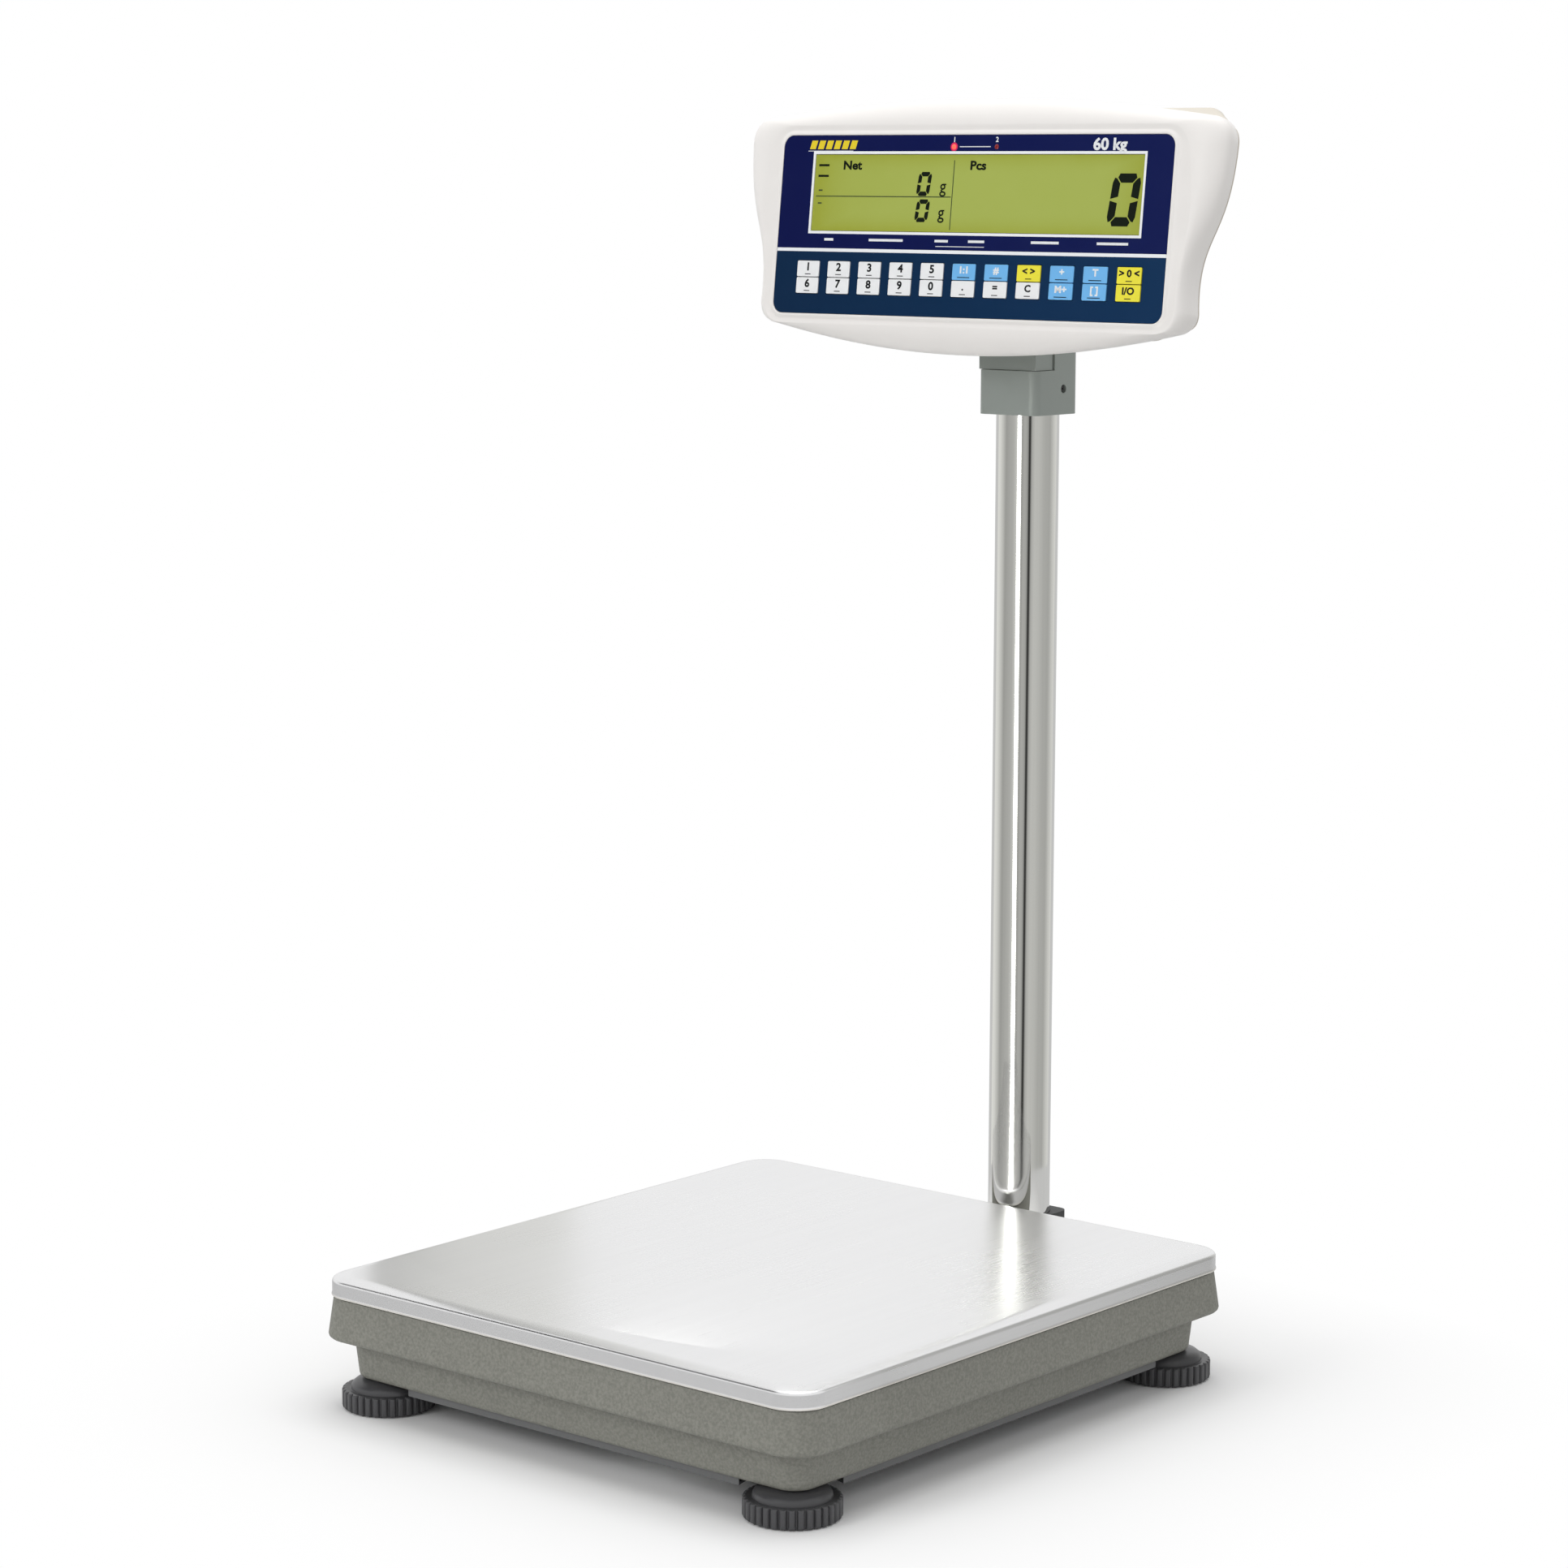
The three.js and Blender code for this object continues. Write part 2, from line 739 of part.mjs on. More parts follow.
function collar() {
  const top = pivotHeight + earRadius + 1;
  const plan = roundedRect(socketHalf, socketHalf, socketCorner);
  const outline = plate(plan, collarBottom, top);
  const body = toGeometry(toSolid(collarSide()).intersect(toSolid(outline)));
  const slotHalf = slotWidth / 2;
  const slotFront = pivotBehindAxis - earRadius - 1;
  const slotBack = socketHalf - slotRearWall;
  const slot = block(-slotHalf, slotHalf, slotFront, slotBack, stepTop + 1, top);
  const bore = post(boreRadius, 0, 0, collarBottom - 1, boreTop, roundSides);
  const pinHole = rodX(pinRadius + gap, pinLength + 2 * gap, 0, pivotBehindAxis, pivotHeight);
  const wall = socketHalf - boreRadius + screwBehindAxis;
  const screwHole = rodX(
    screwRadius + gap,
    wall,
    socketHalf + 1 - wall / 2,
    screwBehindAxis,
    collarBottom + screwHeight,
  );
  return cut(body, slot, bore, pinHole, screwHole);
}

function collarScrew() {
  const x = socketHalf - screwRecess - screwLength / 2;
  return rodX(screwRadius, screwLength, x, screwBehindAxis, collarBottom + screwHeight);
}

function tiltPin() {
  return rodX(pinRadius, pinLength, 0, pivotBehindAxis, pivotHeight);
}

// A point on the rear shell's back face, as Y and Z around the column's axis
function onShellBack(up, clearance) {
  const depth = rearDepthMiddle + rearSlope * up + clearance;
  const [sin, cos] = [Math.sin(panelTilt), Math.cos(panelTilt)];
  const y = up * sin + depth * cos - panelBeforeAxis;
  return new THREE.Vector2(y, panelCentreHeight + up * cos - depth * sin);
}

// Foot of the head: it rests on the collar's step, turns on the pin between the
// ears and reaches forward to the rear shell's back
function tiltBracket() {
  const rear = pivotBehindAxis - earRadius - 1;
  const low = stepTop + gap;
  const reach = bracketFromShellEdge - panelY - rearBottomMargin;
  const shellLow = onShellBack(reach, gap);
  const shellHigh = onShellBack(reach + bracketOnShell, gap);
  const side = new THREE.Shape();
  side.moveTo(bracketInset - socketHalf, low);
  side.lineTo(rear, low);
  side.lineTo(rear, pivotHeight + earRadius);
  side.lineTo(rear - earRadius, shellHigh.y - bracketBackFall);
  side.lineTo(shellHigh.x, shellHigh.y);
  side.lineTo(shellLow.x, shellLow.y);
  side.lineTo(bracketInset - socketHalf, pivotHeight + bracketFrontRise);
  const body = sideProfile(side, socketWidth - 2 * bracketInset);
  const tongueWidth = slotWidth - 2 * gap;
  const knuckle = rodX(tongueRadius, tongueWidth, 0, pivotBehindAxis, pivotHeight, 2 * smallSides);
  const half = tongueWidth / 2;
  const [webLow, webHigh] = [pivotHeight - tongueWeb / 2, pivotHeight + tongueWeb / 2];
  const web = block(-half, half, rear - 1, pivotBehindAxis, webLow, webHigh);
  const hole = rodX(pinRadius + gap, tongueWidth + 2, 0, pivotBehindAxis, pivotHeight);
  return cut(join(body, knuckle, web), hole);
}

// ---- Head: drawn in the panel's own frame, x right, y up, z towards the user ------

// The front shell at its widest: bowed top and bottom, waisted sides
function headOutline() {
  const top = panelY + topMarginAtEnds;
  const bottom = panelY + bottomMarginAtEnds;
  const crown = panelY + 2 * topMargin - topMarginAtEnds;
  const sag = panelY + 2 * bottomMargin - bottomMarginAtEnds;
  const wide = panelX + sideMarginTop;
  const narrow = panelX + sideMarginWaist;
  const foot = narrow + cornerSwell;
  const corner = cornerDrop - bottom;
  const high = flankUpperShare * bottom;
  const low = flankLowerShare * bottom;
  const shoulder = shoulderShare * top;
  const path = new THREE.Shape();
  path.moveTo(bottomRun - narrow, -bottom);
  path.quadraticCurveTo(0, -sag, narrow - bottomRun, -bottom);
  path.quadraticCurveTo(foot, cornerFlat - bottom, foot, corner);
  path.bezierCurveTo(narrow - flankPull, low, wide - cornerFlat, high, wide, shoulder);
  path.quadraticCurveTo(wide, top, wide - topRun, top + topRise);
  path.quadraticCurveTo(0, crown, topRun - wide, top + topRise);
  path.quadraticCurveTo(-wide, top, -wide, shoulder);
  path.bezierCurveTo(cornerFlat - wide, high, flankPull - narrow, low, -foot, corner);
  path.quadraticCurveTo(-foot, cornerFlat - bottom, bottomRun - narrow, -bottom);
  return path;
}

function shellSamples(path) {
  return samples(path, arcSteps, sideSteps);
}

function frontShell() {
  const widest = shellSamples(headOutline());
  const [creaseX, creaseY] = [panelX + creaseMargin, panelY + creaseMarginEnds];
  const crease = shellSamples(roundedRect(creaseX, creaseY, creaseCorner));
  const pocket = shellSamples(roundedRect(panelX + gap, panelY + gap, panelCorner + gap));
  const [windowX, windowY] = [panelX - ledgeWidth, panelY - ledgeWidth];
  const window = shellSamples(roundedRect(windowX, windowY, windowCorner));
  const ledge = -pocketDepth - ledgeThickness;
  const lipInner = pullIn(widest, shellWall + shellLipInset);
  const bow = ([share, depth]) => ring(blend(crease, widest, share), -depth * shellWidestDepth);
  return skin(
    [
      ring(blend(crease, pullIn(widest, shellWall), 0.5), ledge - 2 * edgeBreak),
      ring(pullIn(widest, shellWall + edgeBreak), -shellWidestDepth - edgeBreak),
      ring(lipInner, -shellParting),
      ring(pullIn(widest, shellLipInset), -shellParting),
      ring(pullIn(widest, shellLipDraft), shellLipHeight - shellParting),
      ring(widest, -shellWidestDepth),
      ...shellBow.map(bow),
      ring(crease, 0),
      ring(pocket, rimProud),
      ring(pocket, -pocketDepth),
      ring(window, -pocketDepth),
      ring(window, ledge),
    ],
    true,
  );
}

// Depth of the rear shell's back face at a height on the panel
function backAt(point, lift) {
  return lift - rearDepthMiddle - rearSlope * point.y;
}

// The rear shell's back, a rounded box that narrows towards the bottom
function rearBack(inset) {
  const top = panelY + rearTopMargin;
  const bottom = -panelY - rearBottomMargin;
  const radius = Math.max(rearCorner - inset, 2);
  const halfX = panelX + rearSideMargin - inset;
  const halfY = (top - bottom) / 2 - inset;
  const box = shellSamples(roundedRect(halfX, halfY, radius, 0, (top + bottom) / 2));
  return box.map((p) => new THREE.Vector2(p.x * (1 - rearTaper * (top - p.y)), p.y));
}

// The rear shell's open edge, in line with the front shell's
function rearEdge(inset) {
  return pullIn(shellSamples(headOutline()), shellLipInset + inset);
}

function rearShell() {
  const front = -shellParting - gap;
  const atBack = (inset, lift) => ring(rearBack(inset), (p) => backAt(p, lift));
  const shell = skin([
    ...rearRounding.map(([inset, lift]) => atBack(inset, lift)),
    ring(rearEdge(0), front - edgeBreak),
    ring(rearEdge(edgeBreak), front),
    ring(rearEdge(rearFlange), front),
    ring(rearEdge(rearFlange), front - rearWall),
    atBack(rearWall, rearInnerLift),
    atBack(rearWall + rearInnerInset, rearWall),
  ]);
  const back = -rearDepthMiddle - 20;
  const portHole = block(
    portX - portWidth / 2 - gap,
    portX + portWidth / 2 + gap,
    portY - portHeight / 2 - gap,
    portY + portHeight / 2 + gap,
    back,
    front - rearWall,
  );
  const jackHole = post(jackRadius + gap, jackX, jackY, back, front - rearWall, 2 * smallSides);
  return cut(shell, portHole, jackHole);
}

// The membrane's printed face: one window for the display, one for each pair of keys
function overlay() {
  const film = plate(roundedRect(panelX, panelY, panelCorner), -overlayThickness, 0);
  const windows = [windowCut(lcdX, lcdY, lcdWidth, lcdHeight, 0)];
  for (let column = 0; column < keyColumns; column++) {
    windows.push(windowCut(keyX(column), keyPairY, keyWidth, keyPairHeight, gap));
  }
  return cut(film, ...windows);
}

function windowCut(x, y, width, height, clearance) {
  const [halfX, halfY] = [width / 2 + clearance, height / 2 + clearance];
  return block(x - halfX, x + halfX, y - halfY, y + halfY, -overlayThickness - 1, 1);
}

function keyX(column) {
  return keyMarginLeft + keyWidth / 2 - panelX + column * keyPitch;
}

function key() {
  const [halfX, halfY] = [keyWidth / 2, keyHeight / 2];
  return block(-halfX, halfX, -halfY, halfY, keyProud - keyBody, keyProud);
}

function lcdModule() {
  const [x0, x1] = [lcdX - lcdWidth / 2, lcdX + lcdWidth / 2];
  const [y0, y1] = [lcdY - lcdHeight / 2, lcdY + lcdHeight / 2];
  const front = -pocketDepth;
  const [left, right] = [x0 - lcdFrameSide, x1 + lcdFrameSide];
  const frame = block(left, right, y0 - border, y1 + lcdFrameTop, -lcdModuleDepth, front);
  const glass = block(x0 + gap, x1 - gap, y0 + gap, y1 - gap, front - 1, -lcdGlassRecess);
  return join(frame, glass);
}

function keypadBoard() {
  const front = keyProud - keyBody - keyTravel - 2 * gap;
  const half = keyPairHeight / 2;
  const [x0, x1] = [keyX(0) - keyWidth / 2, keyX(keyColumns - 1) + keyWidth / 2];
  const [y0, y1] = [keyPairY - half - border / 2, keyPairY + half + border];
  const side = keypadBoardSide;
  return block(x0 - side, x1 + side, y0, y1, front - boardThickness, front);
}

function mainBoard() {
  const [halfX, halfY] = [mainBoardWidth / 2, mainBoardHeight / 2];
  return block(-halfX, halfX, -halfY, halfY, -mainBoardDepth - boardThickness, -mainBoardDepth);
}

function battery() {
  const front = -mainBoardDepth - boardThickness - 1;
  const [halfX, halfY] = [batteryWidth / 2, batteryHeight / 2];
  return block(
    batteryX - halfX,
    batteryX + halfX,
    batteryY - halfY,
    batteryY + halfY,
    front - batteryThickness,
    front,
  );
}

// Nine-way socket: a body through the shell's back and a rounded face for the plug
function serialPort() {
  const back = -rearDepthMiddle - rearSlope * portY - portProud;
  const body = block(
    portX - portWidth / 2,
    portX + portWidth / 2,
    portY - portHeight / 2,
    portY + portHeight / 2,
    back,
    back + portLength,
  );
  const face = roundedRect(plugWidth / 2, plugHeight / 2, plugCorner, portX, portY);
  return join(body, plate(face, back - plugLength, back + 1));
}

// Power socket: a barrel with a centre pin
function dcJack() {
  const back = -rearDepthMiddle - rearSlope * jackY - jackProud;
  const barrel = post(jackRadius, jackX, jackY, back, back + jackLength, 2 * smallSides);
  const bore = post(jackBore, jackX, jackY, back - 1, back + jackBoreDepth);
  const pin = post(jackPin, jackX, jackY, back + 1, back + jackBoreDepth + 1, 8);
  return join(cut(barrel, bore), pin);
}

// ---- Assembly -------------------------------------------------------------------

function addPlatform() {
  add(scale, "pan", pan(), stainless());
  add(scale, "platform_casting", platformCasting(), castPaint());
  add(scale, "cell_live_spacer", cellSpacer(false, liveSpacerBottom), zincSteel());
  forCorners((sideX, sideY, name) => {
    const [x, y] = [halfWidth - padFromEdge, halfDepth - padFromEdge];
    add(scale, `pan_pad_${name}`, panPad(sideX * x, sideY * y), blackRubber());
  });
}

function addBase() {
  add(scale, "base_casting", baseCasting(), castPaint());
  add(scale, "bottom_cover", bottomCover(), darkPaint());
  add(scale, "load_cell", loadCell(), aluminium());
  add(scale, "cell_base_spacer", cellSpacer(true, baseSpacerBottom), zincSteel());
  add(scale, "level_vial", levelVial(), vialAcrylic());
  add(scale, "column_bracket", columnBracket(), darkPaint());
  add(scale, "bracket_bolt_left", bracketBolt(-1), zincSteel());
  add(scale, "bracket_bolt_right", bracketBolt(1), zincSteel());
  add(scale, "column_tube", columnTube(), polished());
}

function addFeet() {
  forCorners((sideX, sideY, name) => {
    const foot = new THREE.Group();
    foot.position.set(sideX * footX, sideY < 0 ? footFrontY : footBackY, 0);
    add(foot, `foot_wheel_${name}`, footWheel(), darkPlastic());
    add(foot, `foot_pad_${name}`, solePad(), blackRubber());
    scale.add(foot);
  });
}

function addNeck() {
  const neck = new THREE.Group();
  neck.position.y = columnY;
  add(neck, "collar", collar(), greyPlastic());
  add(neck, "collar_screw", collarScrew(), blackPlastic());
  add(neck, "tilt_pin", tiltPin(), zincSteel());
  add(neck, "tilt_bracket", tiltBracket(), greyPlastic());
  scale.add(neck);
}

function addHead() {
  const head = new THREE.Group();
  head.position.set(0, columnY - panelBeforeAxis, panelCentreHeight);
  head.rotation.x = Math.PI / 2 - panelTilt;
  add(head, "front_shell", frontShell(), whitePlastic());
  add(head, "rear_shell", rearShell(), creamPlastic());
  add(head, "overlay", overlay(), overlayFilm());
  add(head, "lcd_module", lcdModule(), lcdGlass());
  add(head, "keypad_board", keypadBoard(), circuitBoard());
  add(head, "main_board", mainBoard(), circuitBoard());
  add(head, "battery", battery(), blackPlastic());
  add(head, "serial_port", serialPort(), zincSteel());
  add(head, "dc_jack", dcJack(), blackPlastic());
  addKeys(head);
  scale.add(head);
}

// Upper and lower key of each column, with the colour that marks its job
function addKeys(head) {
  const columns = [
    ["one", "six", keyWhite, keyWhite],
    ["two", "seven", keyWhite, keyWhite],
    ["three", "eight", keyWhite, keyWhite],
    ["four", "nine", keyWhite, keyWhite],
    ["five", "zero", keyWhite, keyWhite],
    ["unit_weight", "point", keyBlue, keyWhite],
    ["sample", "enter", keyBlue, keyWhite],
    ["check", "clear", keyYellow, keyWhite],
    ["total", "memory", keyBlue, keyBlue],
    ["tare", "print", keyBlue, keyBlue],
    ["zero_set", "power", keyYellow, keyYellow],
  ];
  const offset = (keyHeight + keySplit) / 2;
  columns.forEach(([upper, lower, upperColour, lowerColour], column) => {
    addKey(head, upper, column, offset, upperColour());
    addKey(head, lower, column, -offset, lowerColour());
  });
}

function addKey(head, name, column, offset, finish) {
  const holder = new THREE.Group();
  holder.position.set(keyX(column), keyPairY + offset, 0);
  add(holder, `key_${name}`, key(), finish);
  head.add(holder);
}

addPlatform();
addBase();
addFeet();
addNeck();
addHead();

export default scale;
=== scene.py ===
"""Counting scale: the finish of every piece, the studio round it and the camera."""

import json
import math

import bmesh
import bpy
from mathutils import Matrix, Vector


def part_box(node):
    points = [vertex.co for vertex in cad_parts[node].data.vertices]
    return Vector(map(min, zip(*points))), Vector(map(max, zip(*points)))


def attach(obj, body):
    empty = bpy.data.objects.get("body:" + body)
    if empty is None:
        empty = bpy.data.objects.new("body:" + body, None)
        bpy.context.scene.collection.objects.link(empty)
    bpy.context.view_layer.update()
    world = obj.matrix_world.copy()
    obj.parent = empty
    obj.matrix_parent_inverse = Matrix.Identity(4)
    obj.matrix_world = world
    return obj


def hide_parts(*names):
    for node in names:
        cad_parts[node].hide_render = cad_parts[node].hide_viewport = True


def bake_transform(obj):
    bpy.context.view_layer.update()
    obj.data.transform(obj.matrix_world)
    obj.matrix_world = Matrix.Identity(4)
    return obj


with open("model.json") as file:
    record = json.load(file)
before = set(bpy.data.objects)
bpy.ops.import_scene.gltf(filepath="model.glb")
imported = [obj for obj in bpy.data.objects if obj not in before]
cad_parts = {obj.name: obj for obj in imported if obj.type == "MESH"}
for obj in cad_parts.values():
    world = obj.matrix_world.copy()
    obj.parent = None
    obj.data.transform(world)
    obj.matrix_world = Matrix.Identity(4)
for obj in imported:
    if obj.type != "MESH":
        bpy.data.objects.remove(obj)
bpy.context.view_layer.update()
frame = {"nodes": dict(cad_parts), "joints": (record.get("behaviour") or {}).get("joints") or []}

MM = 0.001
CORNERS = ("front_left", "front_right", "back_left", "back_right")


# ---- Places taken from the frame, in millimetres ----


def box_mm(node):
    low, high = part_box(node)
    return low / MM, high / MM


def middle_mm(node):
    low, high = box_mm(node)
    return (low + high) / 2


pan_low, pan_high = box_mm("pan")
deck_low, deck_high = box_mm("platform_casting")
base_low = box_mm("base_casting")[0]
tube_low, tube_high = box_mm("column_tube")
socket_low, socket_high = box_mm("column_bracket")
collar_low = box_mm("collar")[0]
column = middle_mm("column_tube")
plan_y = middle_mm("pan").y
half_x = (pan_high.x - pan_low.x) / 2
half_y = (pan_high.y - pan_low.y) / 2
press = next(j["axis"] for j in frame["joints"] if j["name"] == "key_one_press")
tilt = math.atan2(-press[2], press[1])
panel_normal = Vector((0, -math.cos(tilt), math.sin(tilt)))
FILM = 1.2
panel_centre = middle_mm("overlay") + panel_normal * (FILM / 2)
HEAD = Matrix.Translation(panel_centre * MM) @ Matrix.Rotation(math.pi / 2 - tilt, 4, "X")
PANEL_X, PANEL_Y = 144.0, 53.4
BACK_DEPTH, BACK_SLOPE = 42.5, 0.193
PORT, JACK = (60, -20), (100, -22)
TUBE_RADIUS, TUBE_BORE, SOCKET_BORE = 19, 17.5, 19.3
base_back = plan_y + half_y - 10.1
BOLT_X, BOLT_Z, BOLT_HOLE = 35, 30.7, 3.3
KEY_WIDTH, KEY_LEFT, KEY_RIGHT, KEY_MIDDLE, KEY_SHIFT = 17, 17.3, 15.8, -31.65, 5.0


# ---- Material wiring ----


class Value:
    """One output in a material, with arithmetic that adds the maths nodes."""

    def __init__(self, finish, socket):
        self.finish, self.socket = finish, socket

    def maths(self, kind, *terms):
        return self.finish.node("ShaderNodeMath", {"operation": kind}, dict(enumerate(terms)))

    def __add__(self, other):
        return self.maths("ADD", self, other)

    def __sub__(self, other):
        return self.maths("SUBTRACT", self, other)

    def __mul__(self, other):
        return self.maths("MULTIPLY", self, other)

    def __truediv__(self, other):
        return self.maths("DIVIDE", self, other)

    def __gt__(self, other):
        return self.maths("GREATER_THAN", self, other)

    def __lt__(self, other):
        return self.maths("LESS_THAN", self, other)

    def __pow__(self, other):
        return self.maths("POWER", self, other)

    __radd__, __rmul__ = __add__, __mul__

    def __abs__(self):
        return self.maths("ABSOLUTE", self)

    def sine(self):
        return self.maths("SINE", self)

    def at_most(self, other):
        return self.maths("MINIMUM", self, other)

    def at_least(self, other):
        return self.maths("MAXIMUM", self, other)


class Finish:
    """A material and the nodes behind it."""

    def __init__(self, name, colour, roughness, **constants):
        self.material = bpy.data.materials.new(name)
        self.material.use_nodes = True
        self.tree = self.material.node_tree
        self.surface = self.tree.nodes["Principled BSDF"]
        self.base = (*colour, 1)
        self.set("Base Color", self.base)
        self.set("Roughness", roughness)
        for key, value in constants.items():
            self.set(key.replace("_", " "), value)
        self.material.diffuse_color = self.base
        self.spot = self.node("ShaderNodeTexCoord", {}, {}, "Object")

    def node(self, kind, settings, inputs, output=0):
        made = self.tree.nodes.new(kind)
        for key, value in settings.items():
            if key == "stops":
                ramp = made.color_ramp
                while len(ramp.elements) < len(value):
                    ramp.elements.new(1)
                for element, (position, colour) in zip(ramp.elements, value):
                    element.position, element.color = position, colour
            else:
                setattr(made, key, value)
        for key, value in inputs.items():
            self.feed(made.inputs[key], value)
        return Value(self, made.outputs[output])

    def feed(self, socket, value):
        if isinstance(value, Value):
            self.tree.links.new(value.socket, socket)
        else:
            socket.default_value = value

    def set(self, name, value):
        self.feed(self.surface.inputs[name], value)

    def noise(self, scale, detail=3.0, stretch=(1, 1, 1), roughness=0.55):
        where = self.node("ShaderNodeMapping", {}, {"Vector": self.spot, "Scale": stretch})
        inputs = {"Vector": where, "Scale": scale, "Detail": detail, "Roughness": roughness}
        return self.node("ShaderNodeTexNoise", {}, inputs)

    def spread(self, value, low, high):
        """Stretches the part of a value between low and high to 0..1."""
        return self.node("ShaderNodeMapRange", {}, {0: value, 1: low, 2: high})

    def mix(self, share, first, second):
        return self.node(
            "ShaderNodeMix", {"data_type": "RGBA"}, {0: share, 6: first, 7: second}, 2
        )

    def tint(self, factor):
        """The base colour, darker or lighter."""
        return tuple(min(1.0, c * factor) for c in self.base[:3]) + (1,)

    def relief(self, height, strength, distance):
        inputs = {"Height": height, "Strength": strength, "Distance": distance}
        self.set("Normal", self.node("ShaderNodeBump", {}, inputs))

    def xyz(self):
        apart = self.node("ShaderNodeSeparateXYZ", {}, {"Vector": self.spot})
        return [Value(self, o) for o in apart.socket.node.outputs]


def cast_paint(name, colour, grain=1.0):
    f = Finish(name, colour, 0.6)
    coarse, fine = f.noise(620, 4), f.noise(1700, 2)
    cloud = f.noise(14, 3)
    speck = f.spread(coarse, 0.36, 0.64)
    f.set("Base Color", f.mix(speck * 0.7 + cloud * 0.3, f.tint(0.70), f.tint(1.10)))
    f.set("Roughness", 0.5 + 0.22 * fine)
    f.relief(coarse * 0.7 + fine * 0.3, 0.45 * grain, 0.0005)
    return f.material


def moulded(name, colour, roughness, texture=0.25, scale=1500, **constants):
    f = Finish(name, colour, roughness, **constants)
    grain, cloud, rub = f.noise(scale, 2), f.noise(22, 4), f.noise(70, 6)
    f.set("Base Color", f.mix(cloud * 0.6 + grain * 0.2, f.tint(0.95), f.tint(1.03)))
    f.set("Roughness", roughness - 0.06 + 0.12 * f.spread(rub, 0.35, 0.7))
    f.relief(grain, texture, 0.00015)
    return f.material


def brushed(name, colour, roughness, along, relief=0.05):
    """Metal with fine lines along one axis of the piece."""
    stretch = tuple(0.006 if axis == along else 1 for axis in "xyz")
    f = Finish(name, colour, roughness, Metallic=1.0)
    lines, wide = f.noise(1600, 3, stretch), f.noise(160, 4, stretch)
    handled = f.spread(f.noise(9, 5), 0.35, 0.75)
    f.set("Base Color", f.mix(lines * 0.6 + wide * 0.4, f.tint(0.94), f.tint(1.05)))
    f.set("Roughness", roughness + 0.07 * lines + 0.05 * handled)
    f.relief(lines * 0.7 + wide * 0.3, relief, 0.00006)
    return f.material


def plated(name, colour, roughness=0.32):
    f = Finish(name, colour, roughness, Metallic=1.0)
    spangle, wear = f.noise(240, 4), f.noise(38, 6)
    f.set("Base Color", f.mix(f.spread(spangle, 0.3, 0.7), f.tint(0.88), f.tint(1.08)))
    f.set("Roughness", roughness + 0.18 * f.spread(wear, 0.4, 0.75))
    f.relief(spangle, 0.08, 0.0001)
    return f.material


def mirror_tube():
    f = Finish("polished_tube", (0.86, 0.86, 0.84), 0.04, Metallic=1.0)
    lines = f.noise(900, 2, (1, 1, 0.01))
    smudge = f.spread(f.noise(24, 6), 0.5, 0.8)
    f.set("Base Color", f.mix(lines, f.tint(0.96), f.tint(1.03)))
    f.set("Roughness", 0.035 + 0.03 * smudge + 0.02 * lines)
    f.relief(lines, 0.02, 0.00003)
    return f.material


def rubber():
    f = Finish("rubber", (0.022, 0.022, 0.023), 0.8)
    grain, dust = f.noise(800, 3), f.noise(40, 5)
    f.set("Base Color", f.mix(f.spread(dust, 0.45, 0.8), f.base, (0.06, 0.058, 0.054, 1)))
    f.set("Roughness", 0.72 + 0.2 * grain)
    f.relief(grain, 0.3, 0.0002)
    return f.material


def inside_box(x, y, low_x, high_x, low_y, high_y):
    """1 inside a rectangle of the panel, given in millimetres."""
    across = (x > low_x * MM) * (x < high_x * MM)
    return across * (y > low_y * MM) * (y < high_y * MM)


LCD = (-119.0, 124.0, -3.8, 42.3)
LINE_TOP, LINE_LOW = -14.2, -16.2


def overlay_film():
    """Printed film: navy over petrol, a white line between, a white line round the display."""
    f = Finish("overlay_film", (0.004, 0.012, 0.085), 0.3, Specular_IOR_Level=0.16)
    x, y, _ = f.xyz()
    fade = f.spread(x, -0.14, 0.14)
    cloud, weave = f.noise(30, 4), f.noise(2600, 2)
    upper = f.mix(fade, (0.0010, 0.004, 0.066, 1), (0.0020, 0.007, 0.078, 1))
    lower = f.mix(fade, (0.0012, 0.020, 0.062, 1), (0.0014, 0.028, 0.088, 1))
    field = f.mix(y > (LINE_TOP + LINE_LOW) / 2 * MM, lower, upper)
    field = f.mix(cloud * 0.06, field, (0.03, 0.05, 0.16, 1))
    line = (y > LINE_LOW * MM) * (y < LINE_TOP * MM)
    frame_line = inside_box(x, y, LCD[0] - 1.6, LCD[1] + 1.6, LCD[2] - 1.6, LCD[3] + 1.6)
    f.set("Base Color", f.mix(line.at_least(frame_line), field, (0.86, 0.88, 0.90, 1)))
    f.set("Roughness", 0.26 + 0.1 * weave + 0.06 * cloud)
    f.relief(weave, 0.12, 0.00005)
    return f.material


def lcd_glass():
    """Backlit display: yellow-green, brighter in the middle than at its edges."""
    f = Finish("lcd_glass", (0.40, 0.47, 0.13), 0.16, Specular_IOR_Level=0.2)
    f.set("Emission Strength", 0.2)
    x, y, _ = f.xyz()
    mid_y = (LCD[2] + LCD[3]) / 2 * MM
    edge = f.spread(abs(y - mid_y), 0.010, 0.024)
    side = f.spread(abs(x - (LCD[0] + LCD[1]) / 2 * MM), 0.085, 0.124)
    dots, cloud = f.noise(2400, 1), f.noise(35, 3)
    rim = (edge * edge).at_least(side * side)
    left = f.spread(x, -0.02, -0.12)
    rim = (rim + 0.35 * left).at_most(1)
    shade = f.mix(rim * 0.8, (0.315, 0.372, 0.078, 1), (0.25, 0.27, 0.014, 1))
    colour = f.mix(cloud * 0.25 + dots * 0.1, shade, (0.38, 0.43, 0.12, 1))
    f.set("Base Color", colour)
    f.set("Emission Color", colour)
    f.set("Roughness", 0.13 + 0.08 * cloud)
    f.relief(dots, 0.03, 0.00004)
    return f.material


